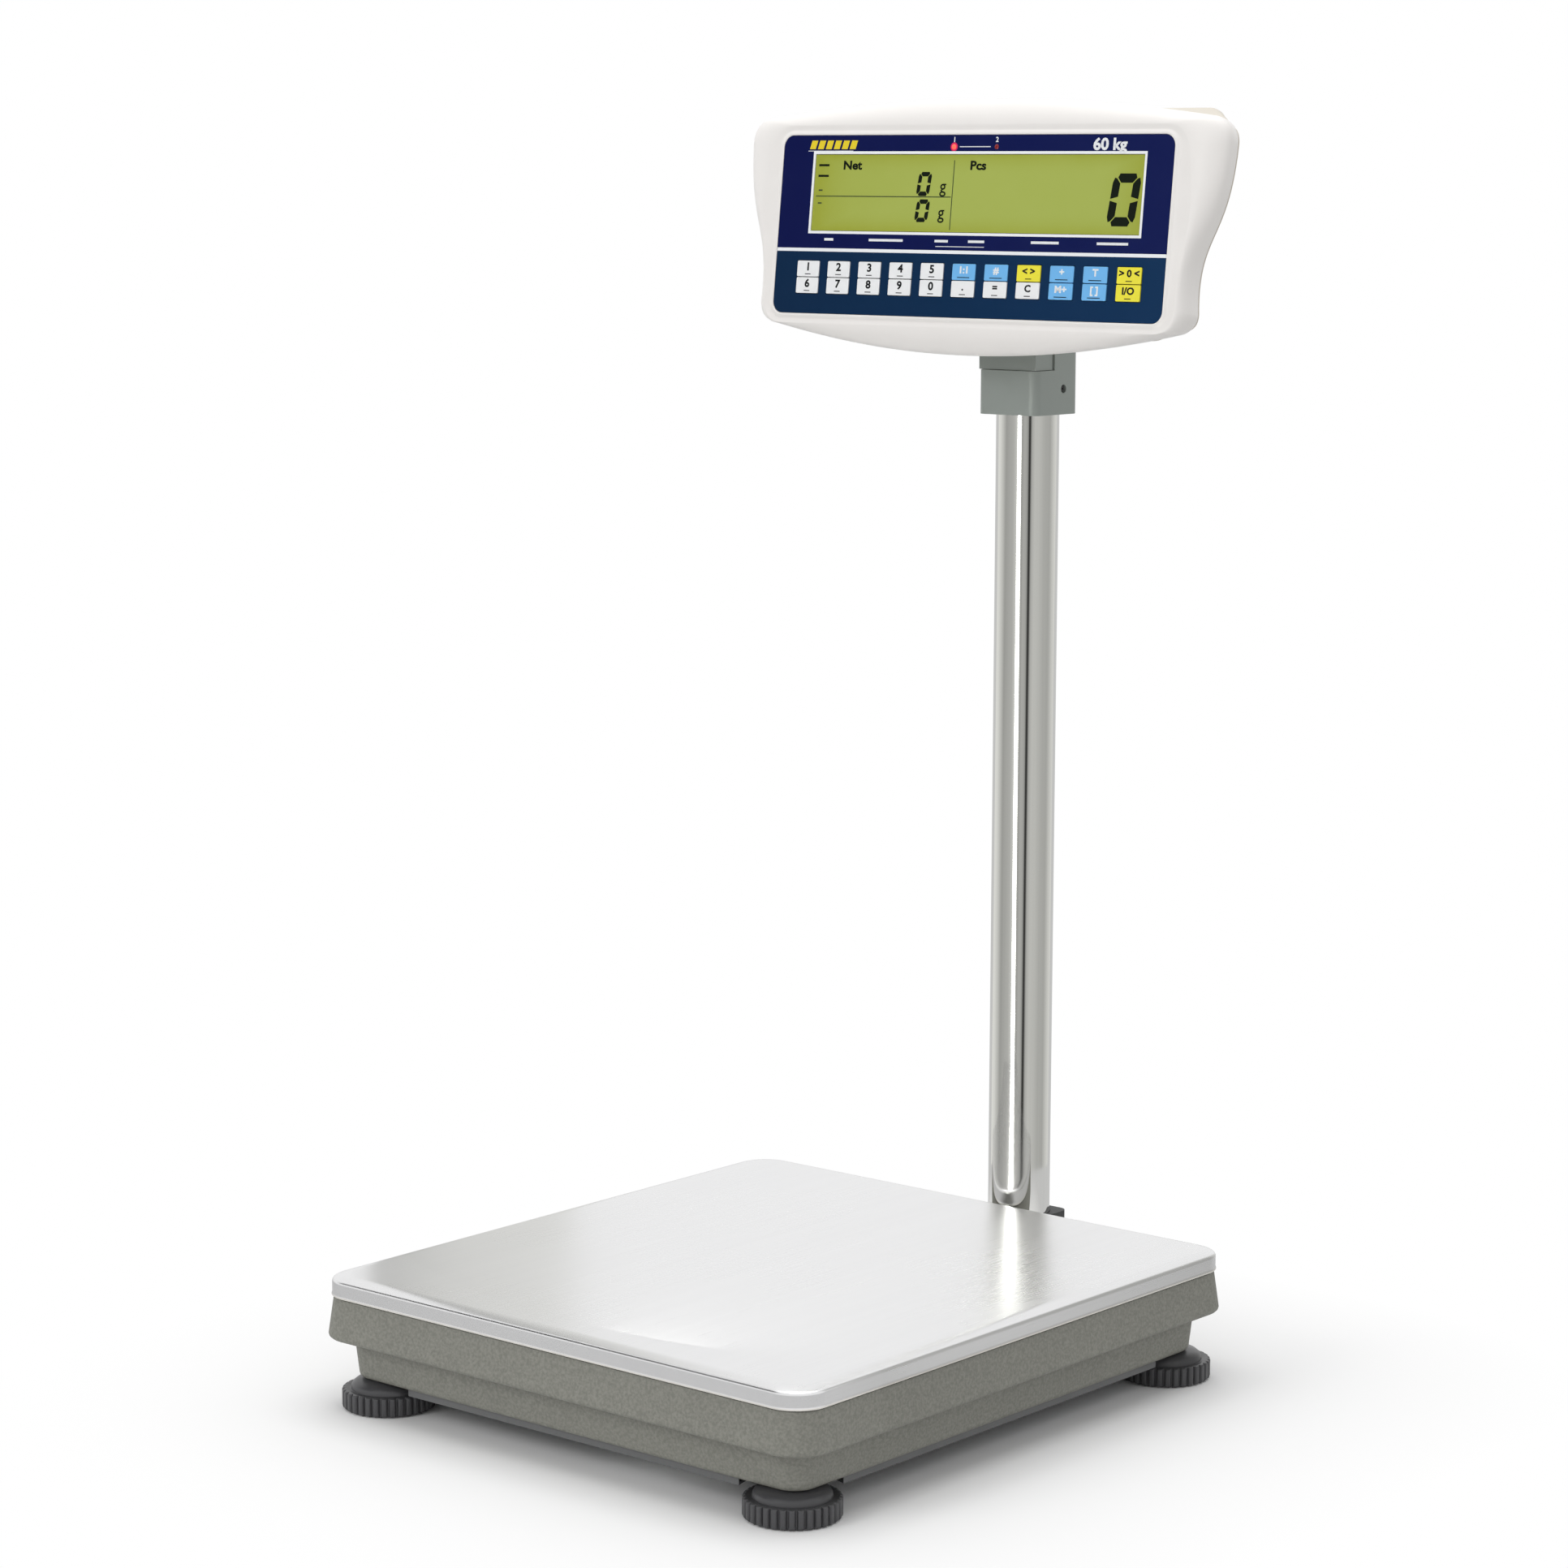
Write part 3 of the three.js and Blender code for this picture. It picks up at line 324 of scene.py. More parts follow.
def printed(name, colour, roughness=0.38):
    """Printed key film: faint weave, dulled where it is pressed."""
    f = Finish(name, colour, roughness)
    weave, rub = f.noise(2200, 2), f.noise(120, 4)
    f.set("Base Color", f.mix(0.7 * f.spread(rub, 0.3, 0.8), f.tint(1.0), f.tint(0.93)))
    f.set("Roughness", roughness + 0.12 * weave)
    f.relief(weave, 0.15, 0.00006)
    return f.material


def ink(name, colour):
    f = Finish(name, colour, 0.5, Specular_IOR_Level=0.12)
    body = f.noise(900, 2)
    f.set("Base Color", f.mix(body, f.tint(0.85), f.tint(1.1)))
    f.set("Roughness", 0.42 + 0.16 * body)
    return f.material


def lamp_finish(name, colour, strength):
    f = Finish(name, colour, 0.25)
    core = f.noise(900, 1)
    glow = f.mix(core, f.tint(0.9), f.tint(1.3))
    f.set("Base Color", glow)
    f.set("Emission Color", glow)
    f.set("Emission Strength", strength)
    f.set("Roughness", 0.2 + 0.1 * core)
    return f.material


def circuit_board():
    f = Finish("circuit_board", (0.02, 0.12, 0.05), 0.4)
    x, y, _ = f.xyz()
    tracks = (((x * 2600).sine() * (y * 3100).sine()) > 0.55) * 0.6
    f.set("Base Color", f.mix(tracks, f.base, (0.05, 0.22, 0.09, 1)))
    f.set("Roughness", 0.35 + 0.2 * f.noise(300, 3))
    return f.material


def vial_acrylic():
    f = Finish("vial_acrylic", (0.5, 0.68, 0.1), 0.08, Transmission_Weight=0.35, IOR=1.49)
    cloud = f.noise(160, 3)
    f.set("Base Color", f.mix(cloud, f.tint(0.9), f.tint(1.1)))
    f.set("Roughness", 0.06 + 0.06 * cloud)
    return f.material


def milled():
    f = Finish("aluminium", (0.62, 0.63, 0.64), 0.36, Metallic=1.0)
    cuts = f.noise(420, 3, (1, 0.03, 1))
    f.set("Base Color", f.mix(cuts, f.tint(0.9), f.tint(1.06)))
    f.set("Roughness", 0.3 + 0.16 * cuts)
    f.relief(cuts, 0.12, 0.0001)
    return f.material


STAINLESS = brushed("stainless", (0.79, 0.79, 0.795), 0.23, "y")
# Stainless of the rolled hem, brushed across; its lighter, warmer colour is a painted highlight along the
# hem
HEM_WITH_HIGHLIGHT = brushed("stainless_hem_painted_highlight", (0.86, 0.84, 0.80), 0.38, "x")
PAINT = cast_paint("cast_paint", (0.242, 0.242, 0.211))
# The base's grey cast paint darkened almost to black: painted shade for the column foot
SHADED_CAST_PAINT = cast_paint("dark_paint", (0.052, 0.054, 0.054), 0.7)
SHEET = moulded("sheet_paint", (0.13, 0.132, 0.134), 0.4, 0.2)
GREY = moulded("grey_plastic", (0.275, 0.305, 0.285), 0.46)
WHITE = moulded("white_plastic", (0.87, 0.845, 0.82), 0.36, 0.12)
CREAM = moulded("cream_plastic", (0.66, 0.615, 0.535), 0.5, 0.16)
BLACK = moulded("black_plastic", (0.018, 0.018, 0.019), 0.38)
DARK = moulded("dark_plastic", (0.060, 0.060, 0.064), 0.36, 0.3, 1100)
ZINC = plated("zinc_steel", (0.55, 0.56, 0.58))
TUBE = mirror_tube()
RUBBER = rubber()
FILM_PRINT = overlay_film()
GLASS = lcd_glass()
DIGIT = ink("lcd_ink", (0.004, 0.008, 0.003))
LCD_LINE = ink("lcd_line", (0.055, 0.075, 0.03))
BLACK_INK = ink("key_ink", (0.012, 0.012, 0.014))
WHITE_INK = ink("white_ink", (0.80, 0.82, 0.84))
YELLOW_INK = ink("yellow_ink", (0.80, 0.62, 0.03))
LAMP_ON = lamp_finish("lamp_lit", (0.95, 0.05, 0.03), 2.2)
# A red disc on the panel round the lit lamp: painted light spilling from the lamp onto the film
PAINTED_LAMP_HALO = lamp_finish("painted_lamp_halo", (0.45, 0.02, 0.08), 0.35)
# The unlit lamp still glows faintly: painted glow
LAMP_OFF = lamp_finish("lamp_unlit", (0.20, 0.008, 0.012), 0.05)
BOARD = circuit_board()
VIAL = vial_acrylic()
ALUMINIUM = milled()
KEY_COLOURS = {
    "white": printed("key_white", (0.86, 0.87, 0.88)),
    "blue": printed("key_blue", (0.15, 0.47, 0.86)),
    "yellow": printed("key_yellow", (0.86, 0.78, 0.028)),
}


# ---- Shapes, in millimetres ----


def arc(x, y, radius, start, end, steps):
    turns = [math.radians(start + (end - start) * i / steps) for i in range(steps + 1)]
    return [(x + radius * math.cos(t), y + radius * math.sin(t)) for t in turns]


def rounded(half_width, half_height, radius, x=0.0, y=0.0, steps=10, edges=(1, 1)):
    """A rounded rectangle, counter-clockwise from its lower edge."""
    points = []
    centres = [(1, -1, -90), (1, 1, 0), (-1, 1, 90), (-1, -1, 180)]
    corners = [
        arc(x + sx * (half_width - radius), y + sy * (half_height - radius), radius, a, a + 90, steps)
        for sx, sy, a in centres
    ]
    for i, corner in enumerate(corners):
        before, count = corners[i - 1][-1], edges[i % 2]
        for k in range(count):
            share = k / count
            points.append(tuple(b + (c - b) * share for b, c in zip(before, corner[0])))
        points += corner[:-1]
    return points


def circle(radius, sides=48, x=0.0, y=0.0):
    return arc(x, y, radius, 0, 360, sides)[:-1]


def at(points, z):
    return [(p[0], p[1], z(p) if callable(z) else z) for p in points]


def curve(points, steps):
    """A Bezier curve through its control points, its last point left out."""
    degree = len(points) - 1
    made = []
    for i in range(steps):
        t = i / steps
        weights = [math.comb(degree, k) * t**k * (1 - t) ** (degree - k) for k in range(degree + 1)]
        made.append(tuple(sum(w * p[c] for w, p in zip(weights, points)) for c in (0, 1)))
    return made


def pull_in(points, inset):
    made = []
    for i, (x, y) in enumerate(points):
        before, after = points[i - 1], points[(i + 1) % len(points)]
        along = Vector((after[0] - before[0], after[1] - before[1])).normalized()
        made.append((x - along.y * inset, y + along.x * inset))
    return made


def between(first, second, share):
    return [tuple(a + (b - a) * share for a, b in zip(p, q)) for p, q in zip(first, second)]


# ---- Solids ----


def new_object(name, data):
    made = bpy.data.objects.new(name, data)
    bpy.context.scene.collection.objects.link(made)
    return made


def thing_from(bm):
    mesh = bpy.data.meshes.new("solid")
    bmesh.ops.recalc_face_normals(bm, faces=bm.faces)
    bm.to_mesh(mesh)
    bm.free()
    return new_object("solid", mesh)


def loft(rings, closed=False):
    """A skin over rings of equal length; an open list gets a cap at each end."""
    bm = bmesh.new()
    rows = [[bm.verts.new(Vector(p) * MM) for p in ring] for ring in rings]
    pairs = list(zip(rows, rows[1:])) + ([(rows[-1], rows[0])] if closed else [])
    for low, high in pairs:
        for i in range(len(low)):
            j = (i + 1) % len(low)
            bm.faces.new((low[i], low[j], high[j], high[i]))
    if not closed:
        bm.faces.new(list(reversed(rows[0])))
        bm.faces.new(rows[-1])
    return thing_from(bm)


def prism(points, low, high):
    return loft([at(points, low), at(points, high)])


def bar(x0, x1, y0, y1, z0, z1):
    return prism([(x0, y0), (x1, y0), (x1, y1), (x0, y1)], z0, z1)


def post(radius, x, y, z0, z1, sides=48):
    return prism(circle(radius, sides, x, y), z0, z1)


def lathe(profile, x=0.0, y=0.0, sides=64, closed=False):
    return loft([at(circle(r, sides, x, y), z) for r, z in profile], closed)


def move(thing, matrix):
    thing.data.transform(matrix)
    return thing


def rod(radius, length, centre, axis, sides=48):
    """A cylinder along X or Y, centred on a point."""
    made = post(radius, 0, 0, -length / 2, length / 2, sides)
    turn = Matrix.Rotation(math.pi / 2, 4, "Y" if axis == "X" else "X")
    return move(made, Matrix.Translation(Vector(centre) * MM) @ turn)


def settle(thing):
    """Makes a piece's modifiers part of its mesh."""
    graph = bpy.context.evaluated_depsgraph_get()
    made = bpy.data.meshes.new_from_object(thing.evaluated_get(graph))
    thing.modifiers.clear()
    thing.data = made
    return thing


def carve(thing, *tools, operation="DIFFERENCE"):
    for tool in tools:
        modifier = thing.modifiers.new("carve", "BOOLEAN")
        modifier.operation, modifier.object, modifier.solver = operation, tool, "EXACT"
        settle(thing)
        bpy.data.objects.remove(tool)
    return thing


def fuse(thing, *others):
    return carve(thing, *others, operation="UNION")


def soften(thing, width, segments=3, angle=40):
    modifier = thing.modifiers.new("bevel", "BEVEL")
    modifier.width, modifier.segments = width * MM, segments
    modifier.limit_method, modifier.angle_limit = "ANGLE", math.radians(angle)
    modifier.use_clamp_overlap = True
    return settle(thing)


def paint(thing, *finishes):
    """Gives a thing its materials; faces keep the numbers they have."""
    thing.data.materials.clear()
    for finish in finishes:
        thing.data.materials.append(finish)
    return thing


def gather(*things):
    """Joins things into the first; each keeps its own material."""
    bm = bmesh.new()
    finishes = []
    for thing in things:
        start = len(bm.faces)
        bm.from_mesh(thing.data)
        bm.faces.ensure_lookup_table()
        finish = thing.data.materials[0] if thing.data.materials else None
        if finish not in finishes:
            finishes.append(finish)
        for face in bm.faces[start:]:
            face.material_index = finishes.index(finish)
    paint(things[0], *finishes)
    bm.to_mesh(things[0].data)
    bm.free()
    for thing in things[1:]:
        bpy.data.objects.remove(thing)
    return things[0]


def finish_piece(thing, name, body, nodes=(), place=None, sharp=35):
    """Names a piece, smooths it and fixes it to its body."""
    thing.name = thing.data.name = name
    for polygon in thing.data.polygons:
        polygon.use_smooth = True
    thing.data.set_sharp_from_angle(angle=math.radians(sharp))
    even = thing.modifiers.new("even", "WEIGHTED_NORMAL")
    even.keep_sharp = True
    if place is not None:
        thing.matrix_world = place
    if body:
        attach(thing, body)
    if nodes:
        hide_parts(*nodes)
    return thing


# ---- Pan and platform ----


def plan(inset, z, steps=14):
    outline = rounded(half_x - inset, half_y - inset, 20 - inset / 2, 0, plan_y, steps)
    return at(outline, z)


def build_pan():
    top, bottom, bead, skirt = pan_high.z, pan_low.z, 0.85, 0.35
    inner = [math.radians(a) for a in (90, 70, 50, 30, 10, 0)]
    rings = [plan(1.5 + 6.5 * (1 - math.cos(a)), top - 8 + 6.5 * math.sin(a)) for a in inner]
    for turn in (0, -30, -60, -90, -120, -150, -180, -212):
        a = math.radians(turn)
        rings.append(plan(bead + bead * math.cos(a), bottom + bead + bead * math.sin(a)))
    rings.append(plan(skirt, bottom + 2.2))
    radius, fall = 2.2, 1.5
    for turn in range(0, 76, 15):
        a = math.radians(turn)
        lift = radius * math.sin(a)
        rings.append(plan(skirt + radius * (1 - math.cos(a)), top - fall - radius + lift))
    rings += [plan(4.2, top - 0.85), plan(6.5, top - 0.28), plan(8.5, top - 0.05), plan(10, top)]
    pan = paint(loft(rings), STAINLESS, HEM_WITH_HIGHLIGHT)
    # The rolled hem at the foot of the skirt takes the lighter stainless: painted highlight
    for polygon in pan.data.polygons:
        if polygon.center.z < (bottom + 2 * bead) * MM:
            polygon.material_index = 1
    finish_piece(pan, "weighing_pan", "pan", ["pan"], sharp=50)


def build_platform():
    foot, wall, low, top = -1.6, 5, deck_low.z, deck_high.z
    under, shoulder = top - 4, pan_low.z - 0.3
    rings = [plan(foot + wall + 6, under), plan(foot + wall + 4, under - 3)]
    rings += [plan(foot + wall, low), plan(foot + 2.5, low)]
    for turn in (60, 30, 0):
        a = math.radians(turn)
        rings.append(plan(foot + 2.5 * (1 - math.cos(a)), low + 2.5 * (1 - math.sin(a))))
    rings += [plan(foot + 0.1, low + 3.5), plan(0.95, shoulder - 1.2), plan(1.3, shoulder - 0.3)]
    rings += [plan(2, shoulder), plan(5, shoulder), plan(5, top - 1), plan(6, top)]
    tray = loft(rings)
    vial = middle_mm("level_vial")
    carve(tray, post(12, vial.x, vial.y, under - 2, top + 2))
    paint(tray, PAINT)
    finish_piece(tray, "platform_body", "platform", ["platform_casting"])
    for corner in CORNERS:
        low_z, pad = box_mm(f"pan_pad_{corner}")[0].z, middle_mm(f"pan_pad_{corner}")
        profile = [(8.4, 0), (9, 0.6), (9, 3.2), (8.4, 3.8), (3.2, 3.8), (2.6, 3.1)]
        made = lathe([(r, low_z + z) for r, z in profile], pad.x, pad.y)
        finish_piece(
            paint(made, RUBBER), f"pan_rest_{corner}", "platform", [f"pan_pad_{corner}"]
        )


# ---- Base, feet and bracket ----


def foot_spot(corner):
    return middle_mm(f"foot_pad_{corner}")


def build_base():
    low, rim = base_low.z, deck_high.z - 14
    side, bottom = 10.7, 12.7
    rings = []
    for turn in (90, 60, 30, 0):
        a = math.radians(turn)
        rings.append(plan(bottom + 3 * (1 - math.cos(a)), low + 3 * (1 - math.sin(a))))
    rings += [plan(bottom - 0.1, low + 4), plan(side, deck_low.z), plan(side, rim)]
    rings += [plan(side + 5, rim), plan(bottom + 5, low + 5)]
    tray = loft(rings)
    floor = low + 5
    for corner in CORNERS:
        spot = foot_spot(corner)
        fuse(tray, post(10, spot.x, spot.y, floor - 1, 45.9, 32))
    for sx in (-1, 1):
        for sy in (-1, 1):
            x, y = sx * (half_x - 45), plan_y + sy * (half_y - 60)
            fuse(tray, post(7, x, y, floor - 1, deck_high.z - 5, 24))
    fuse(tray, bar(-48, 48, base_back - 8, base_back, 20, 40.4))
    for corner in CORNERS:
        spot = foot_spot(corner)
        carve(tray, post(5.3, spot.x, spot.y, low - 1, 48, 32))
    for x in (-BOLT_X, BOLT_X):
        carve(tray, rod(BOLT_HOLE, 32, (x, base_back, BOLT_Z), "Y", 24))
    paint(tray, PAINT)
    finish_piece(tray, "base_body", "base", ["base_casting"])


def build_load_cell():
    """The measuring beam, drawn at rest; in the scale its free end bends down with the platform."""
    low, high = box_mm("load_cell")
    centre = (low + high) / 2
    beam = bar(low.x, high.x, low.y, high.y, low.z, high.z)
    for y in (-16, 16):
        carve(beam, rod(9, 60, (centre.x, centre.y + y, centre.z), "X", 32))
    slot = bar(-30, 30, -16, 16, -4, 4)
    carve(beam, move(slot, Matrix.Translation(centre * MM)))
    paint(soften(beam, 0.5, 2, 50), ALUMINIUM)
    finish_piece(beam, "measuring_beam", None, ["load_cell"])
    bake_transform(beam)


def build_cover():
    low, high = (p.z for p in box_mm("bottom_cover"))
    outer = rounded(half_x - 16.5, half_y - 16.5, 4, 0, plan_y, 6)
    inner = rounded(half_x - 18, half_y - 18, 3, 0, plan_y, 6)
    tray = carve(prism(outer, low, high), prism(inner, low + 1.5, high + 1))
    for corner in CORNERS:
        spot = foot_spot(corner)
        carve(tray, post(29.7, spot.x, spot.y, low - 1, high + 1, 64))
    paint(soften(tray, 0.5, 2), SHEET)
    finish_piece(tray, "underside_cover", "base", ["bottom_cover"])


RIBS = 34
RIB_SHAPE = (0, 0, 0, 0, 0, 0.3, 1, 1, 0.3)


def fluted(radius, depth):
    """A ring with grooves of one depth; depth 0 gives a plain circle in step with it."""
    count = RIBS * len(RIB_SHAPE)
    points = []
    for i in range(count):
        t, r = 2 * math.pi * i / count, radius - depth * RIB_SHAPE[i % len(RIB_SHAPE)]
        points.append((r * math.cos(t), r * math.sin(t)))
    return points


def build_foot(corner):
    spot = foot_spot(corner)
    radius, low, rim, boss = 26.7, 0.6, 11.6, 17.6
    rings = [
        (18.3, 0, low + 3), (18.3, 0, low), (radius - 3, 0, low), (radius - 0.9, 0.9, low + 0.15),
        (radius - 0.25, 1.5, low + 0.7), (radius, 1.7, low + 1.4), (radius, 1.7, rim - 1.1),
        (radius - 0.25, 1.5, rim - 0.5), (radius - 0.8, 0.9, rim - 0.12), (radius - 2.6, 0, rim),
        (22.2, 0, rim - 0.5), (21.6, 0, rim - 0.2), (21.3, 0, rim + 1.6), (20.5, 0, rim + 3),
        (18.9, 0, rim + 4.3), (16.6, 0, rim + 5.2), (13, 0, boss - 0.1), (12, 0, boss), (8, 0, boss),
        (7.2, 0, boss - 0.8), (5.2, 0, boss - 0.8),
    ]
    wheel = loft([at(fluted(r, depth), z) for r, depth, z in rings])
    move(wheel, Matrix.Translation((spot.x * MM, spot.y * MM, 0)))
    finish_piece(
        paint(wheel, DARK), f"hand_wheel_{corner}", f"wheel_{corner}",
        [f"foot_wheel_{corner}"], sharp=50,
    )
    profile, z = [(4.9, boss - 0.7)], boss
    while z < boss + 26.5:
        profile += [(5, z), (4.45, z + 0.75)]
        z += 1.5
    profile += [(4.4, boss + 27.6), (3.9, boss + 28)]
    stud = paint(lathe(profile, spot.x, spot.y, 40), ZINC)
    finish_piece(stud, f"foot_stud_{corner}", f"wheel_{corner}", sharp=25)
    sole = [(16.8, 0), (17.6, 0.15), (18, 0.6), (18, 2.9), (17.6, 3.3)]
    made = paint(lathe(sole, spot.x, spot.y), RUBBER)
    finish_piece(made, f"foot_sole_{corner}", f"sole_{corner}", [f"foot_pad_{corner}"])


def build_bracket():
    y, low, high = column.y, socket_low.z, socket_high.z
    seat = base_back + 0.3
    block = prism(rounded(22, 22, 6, 0, y, 10), low, high)
    fuse(block, bar(-22, 22, seat, y, 21, 40.4), bar(-46, 46, seat, seat + 5, 21, 40.4))
    carve(block, post(SOCKET_BORE, 0, y, low + 3, high + 1, 96))
    for x in (-BOLT_X, BOLT_X):
        carve(block, rod(BOLT_HOLE, 20, (x, seat, BOLT_Z), "Y", 24))
    # The column foot has the base's grey; its near-black paint is painted shade
    paint(soften(block, 0.9, 3, 50), SHADED_CAST_PAINT)
    finish_piece(block, "column_foot", "base", ["column_bracket"])
    for side, x in (("left", -BOLT_X), ("right", BOLT_X)):
        face = seat + 5.3
        shank = rod(3, 15, (x, face - 6.5, BOLT_Z), "Y", 24)
        head = soften(prism(circle(5.75, 6), 0, 4), 0.35, 2)
        move(head, Matrix.Rotation(math.pi / 2, 4, "X"))
        move(head, Matrix.Translation(Vector((x, face + 4, BOLT_Z)) * MM))
        washer = rod(7, 1, (x, face + 0.45, BOLT_Z), "Y", 48)
        bolt = gather(*(paint(part, ZINC) for part in (head, shank, washer)))
        finish_piece(bolt, f"bolt_{side}", "base", [f"bracket_bolt_{side}"])
    ends = tube_low.z, tube_high.z
    profile = [(TUBE_BORE, ends[0]), (TUBE_RADIUS, ends[0]), (TUBE_RADIUS, ends[1]), (TUBE_BORE, ends[1])]
    tube = paint(lathe(profile, 0, y, 128, closed=True), TUBE)
    finish_piece(tube, "column", "base", ["column_tube"])
    vial_low, spot = box_mm("level_vial")[0].z, middle_mm("level_vial")
    vial = [(8.2, 0), (9, 0.5), (9, 8.6), (8.6, 9.4), (7.2, 10)]
    made = lathe([(r, vial_low + z) for r, z in vial], spot.x, spot.y)
    line = [(3.2, 9.95), (3.2, 10.05), (3.6, 10.05), (3.6, 9.95)]
    mark = lathe([(r, vial_low + z) for r, z in line], spot.x, spot.y, 40, closed=True)
    level = gather(paint(made, VIAL), paint(mark, BLACK_INK))
    finish_piece(level, "spirit_level", "base", ["level_vial"])


# ---- Collar and tilt bracket ----


def side_profile(points, width):
    """Extrudes an outline drawn in Y and Z along X, centred on x = 0."""
    made = prism(points, -width / 2, width / 2)
    return move(made, Matrix(((0, 0, 1, 0), (1, 0, 0, 0), (0, 1, 0, 0), (0, 0, 0, 1))))


STEP, PIVOT_Y, PIVOT_Z, PIN_HOLE = collar_low.z + 26.5, column.y + 7, collar_low.z + 40, 3.3
SCREW_SPOT = column.y + 6, collar_low.z + 15.3


def build_collar():
    y, low, step, pivot_y, pivot_z = column.y, collar_low.z, STEP, PIVOT_Y, PIVOT_Z
    outline = [(y - 22, low), (y + 22, low), (y + 22, low + 35)]
    outline += arc(pivot_y, pivot_z, 10, 0, 180, 20) + [(pivot_y - 10, step), (y - 22, step)]
    body = side_profile(outline, 44)
    carve(body, prism(rounded(22, 22, 6, 0, y, 10), low - 1, low + 60), operation="INTERSECT")
    carve(body, bar(-12, 12, pivot_y - 11, y + 18, step + 1, low + 60))
    carve(body, post(SOCKET_BORE, 0, y, low - 1, step - 3, 96))
    carve(body, rod(PIN_HOLE, 38.6, (0, pivot_y, pivot_z), "X", 32))
    carve(body, rod(2.6, 7, (22, *SCREW_SPOT), "X", 32))
    paint(soften(body, 0.8, 3, 50), GREY)
    finish_piece(body, "swivel_collar", "neck", ["collar"])
    screw = rod(1.6, 1.6, (22 - 0.8 - 0.8, *SCREW_SPOT), "X", 32)
    carve(screw, rod(0.85, 1.2, (22 - 0.8, *SCREW_SPOT), "X", 6))
    finish_piece(paint(screw, BLACK), "grub_screw", "neck", ["collar_screw"])


def back_z(y):
    """Where the head's sloping back lies at a height, in the panel's own frame."""
    return -BACK_DEPTH - BACK_SLOPE * y


def on_shell_back(up, clearance):
    """Y and Z of a point that far up the panel and that clear of the head's back."""
    depth = clearance - back_z(up)
    return (
        panel_centre.y + up * math.sin(tilt) + depth * math.cos(tilt),
        panel_centre.z + up * math.cos(tilt) - depth * math.sin(tilt),
    )


def build_tilt_bracket():
    y, pivot_y, pivot_z = column.y, PIVOT_Y, PIVOT_Z
    front, rear, seat = y - 21, y - 4, STEP + 0.3
    reach = 4 - PANEL_Y - 8.5
    low, high = on_shell_back(reach, 0.3), on_shell_back(reach + 33, 0.3)
    outline = [(front, seat), (rear, seat), (rear, pivot_z + 10), (rear - 10, high[1] - 8)]
    outline += [high, low, (front, pivot_z + 2)]
    body = side_profile(outline, 42)
    knuckle = rod(8.5, 23.4, (0, pivot_y, pivot_z), "X", 64)
    fuse(body, knuckle, bar(-11.7, 11.7, rear - 1, pivot_y, pivot_z - 7, pivot_z + 7))
    carve(body, rod(PIN_HOLE, 26, (0, pivot_y, pivot_z), "X", 32))
    paint(soften(body, 1.0, 3, 50), GREY)
    finish_piece(body, "head_foot", "head", ["tilt_bracket"])


# ---- Head shells, in the panel's own frame ----

EDGE, CORNER, FLANK = 44, 14, 26


def head_outline():
    top, bottom, crown, sag, wide, narrow = 62.4, 59.4, 86.4, 90.4, 176.0, 156.0
    foot, high, low, shoulder = narrow + 2, -0.13 * bottom, 0, 0.8 * top
    points = curve([(10 - narrow, -bottom), (0, -sag), (narrow - 10, -bottom)], EDGE)
    points += curve([(narrow - 10, -bottom), (foot, 2 - bottom), (foot, 13 - bottom)], CORNER)
    points += curve([(foot, 13 - bottom), (narrow - 3, low), (wide - 2, high), (wide, shoulder)], FLANK)
    points += curve([(wide, shoulder), (wide, top), (wide - 12, top + 2.5)], CORNER)
    points += curve([(wide - 12, top + 2.5), (0, crown), (12 - wide, top + 2.5)], EDGE)
    points += curve([(12 - wide, top + 2.5), (-wide, top), (-wide, shoulder)], CORNER)
    points += curve([(-wide, shoulder), (2 - wide, high), (3 - narrow, low), (-foot, 13 - bottom)], FLANK)
    points += curve([(-foot, 13 - bottom), (-foot, 2 - bottom), (10 - narrow, -bottom)], CORNER)
    return points


def matched(half_width, half_height, radius, middle=0.0):
    """A rounded rectangle with as many points as the head's outline, in step with it."""
    points = []
    corners = [
        arc(
            sx * (half_width - radius), middle + sy * (half_height - radius), radius, a, a + 90, CORNER
        )
        for sx, sy, a in [(1, -1, -90), (1, 1, 0), (-1, 1, 90), (-1, -1, 180)]
    ]
    for i, corner in enumerate(corners):
        start, count = corners[i - 1][-1], (EDGE, FLANK)[i % 2]
        points += [
            tuple(b + (c - b) * k / count for b, c in zip(start, corner[0])) for k in range(count)
        ]
        points += corner[:-1]
    return points


def build_front_shell():
    widest = head_outline()
    crease = [
        (x + math.copysign(5.5, x) * math.exp(-(((y - 14) / 30) ** 2)) * (abs(x) > 140), y)
        for x, y in matched(152, 59.4, 14)
    ]
    rim = matched(146.6, 56.0, 9)
    pocket = matched(144.3, 53.7, 7.3)
    window = matched(140, 49.4, 4)
    rings = [at(between(crease, pull_in(widest, 3), 0.5), -6)]
    rings += [at(pull_in(widest, 4), -11), at(pull_in(widest, 6), -20), at(pull_in(widest, 3.2), -20)]
    rings += [at(pull_in(widest, inset), z) for inset, z in ((2.7, -19.7), (0.8, -16), (0.1, -12))]
    for turn in (0, 12, 24, 36, 48, 60, 70, 80, 88):
        a = math.radians(90 - turn)
        rings.append(at(between(crease, widest, math.sin(a)), -10 * (1 - math.cos(a))))
    rings += [at(crease, 0), at(between(crease, rim, 0.3), -0.1), at(between(crease, rim, 0.75), -0.5)]
    rings += [at(rim, -0.35), at(between(rim, pocket, 0.3), 0.2), at(between(rim, pocket, 0.75), 0.3)]
    rings += [at(pocket, 0.1), at(pocket, -1.5)]
    rings += [at(window, -1.5), at(window, -4)]
    shell = paint(loft(rings, closed=True), WHITE)
    finish_piece(shell, "head_front", "head", ["front_shell"], HEAD, sharp=40)


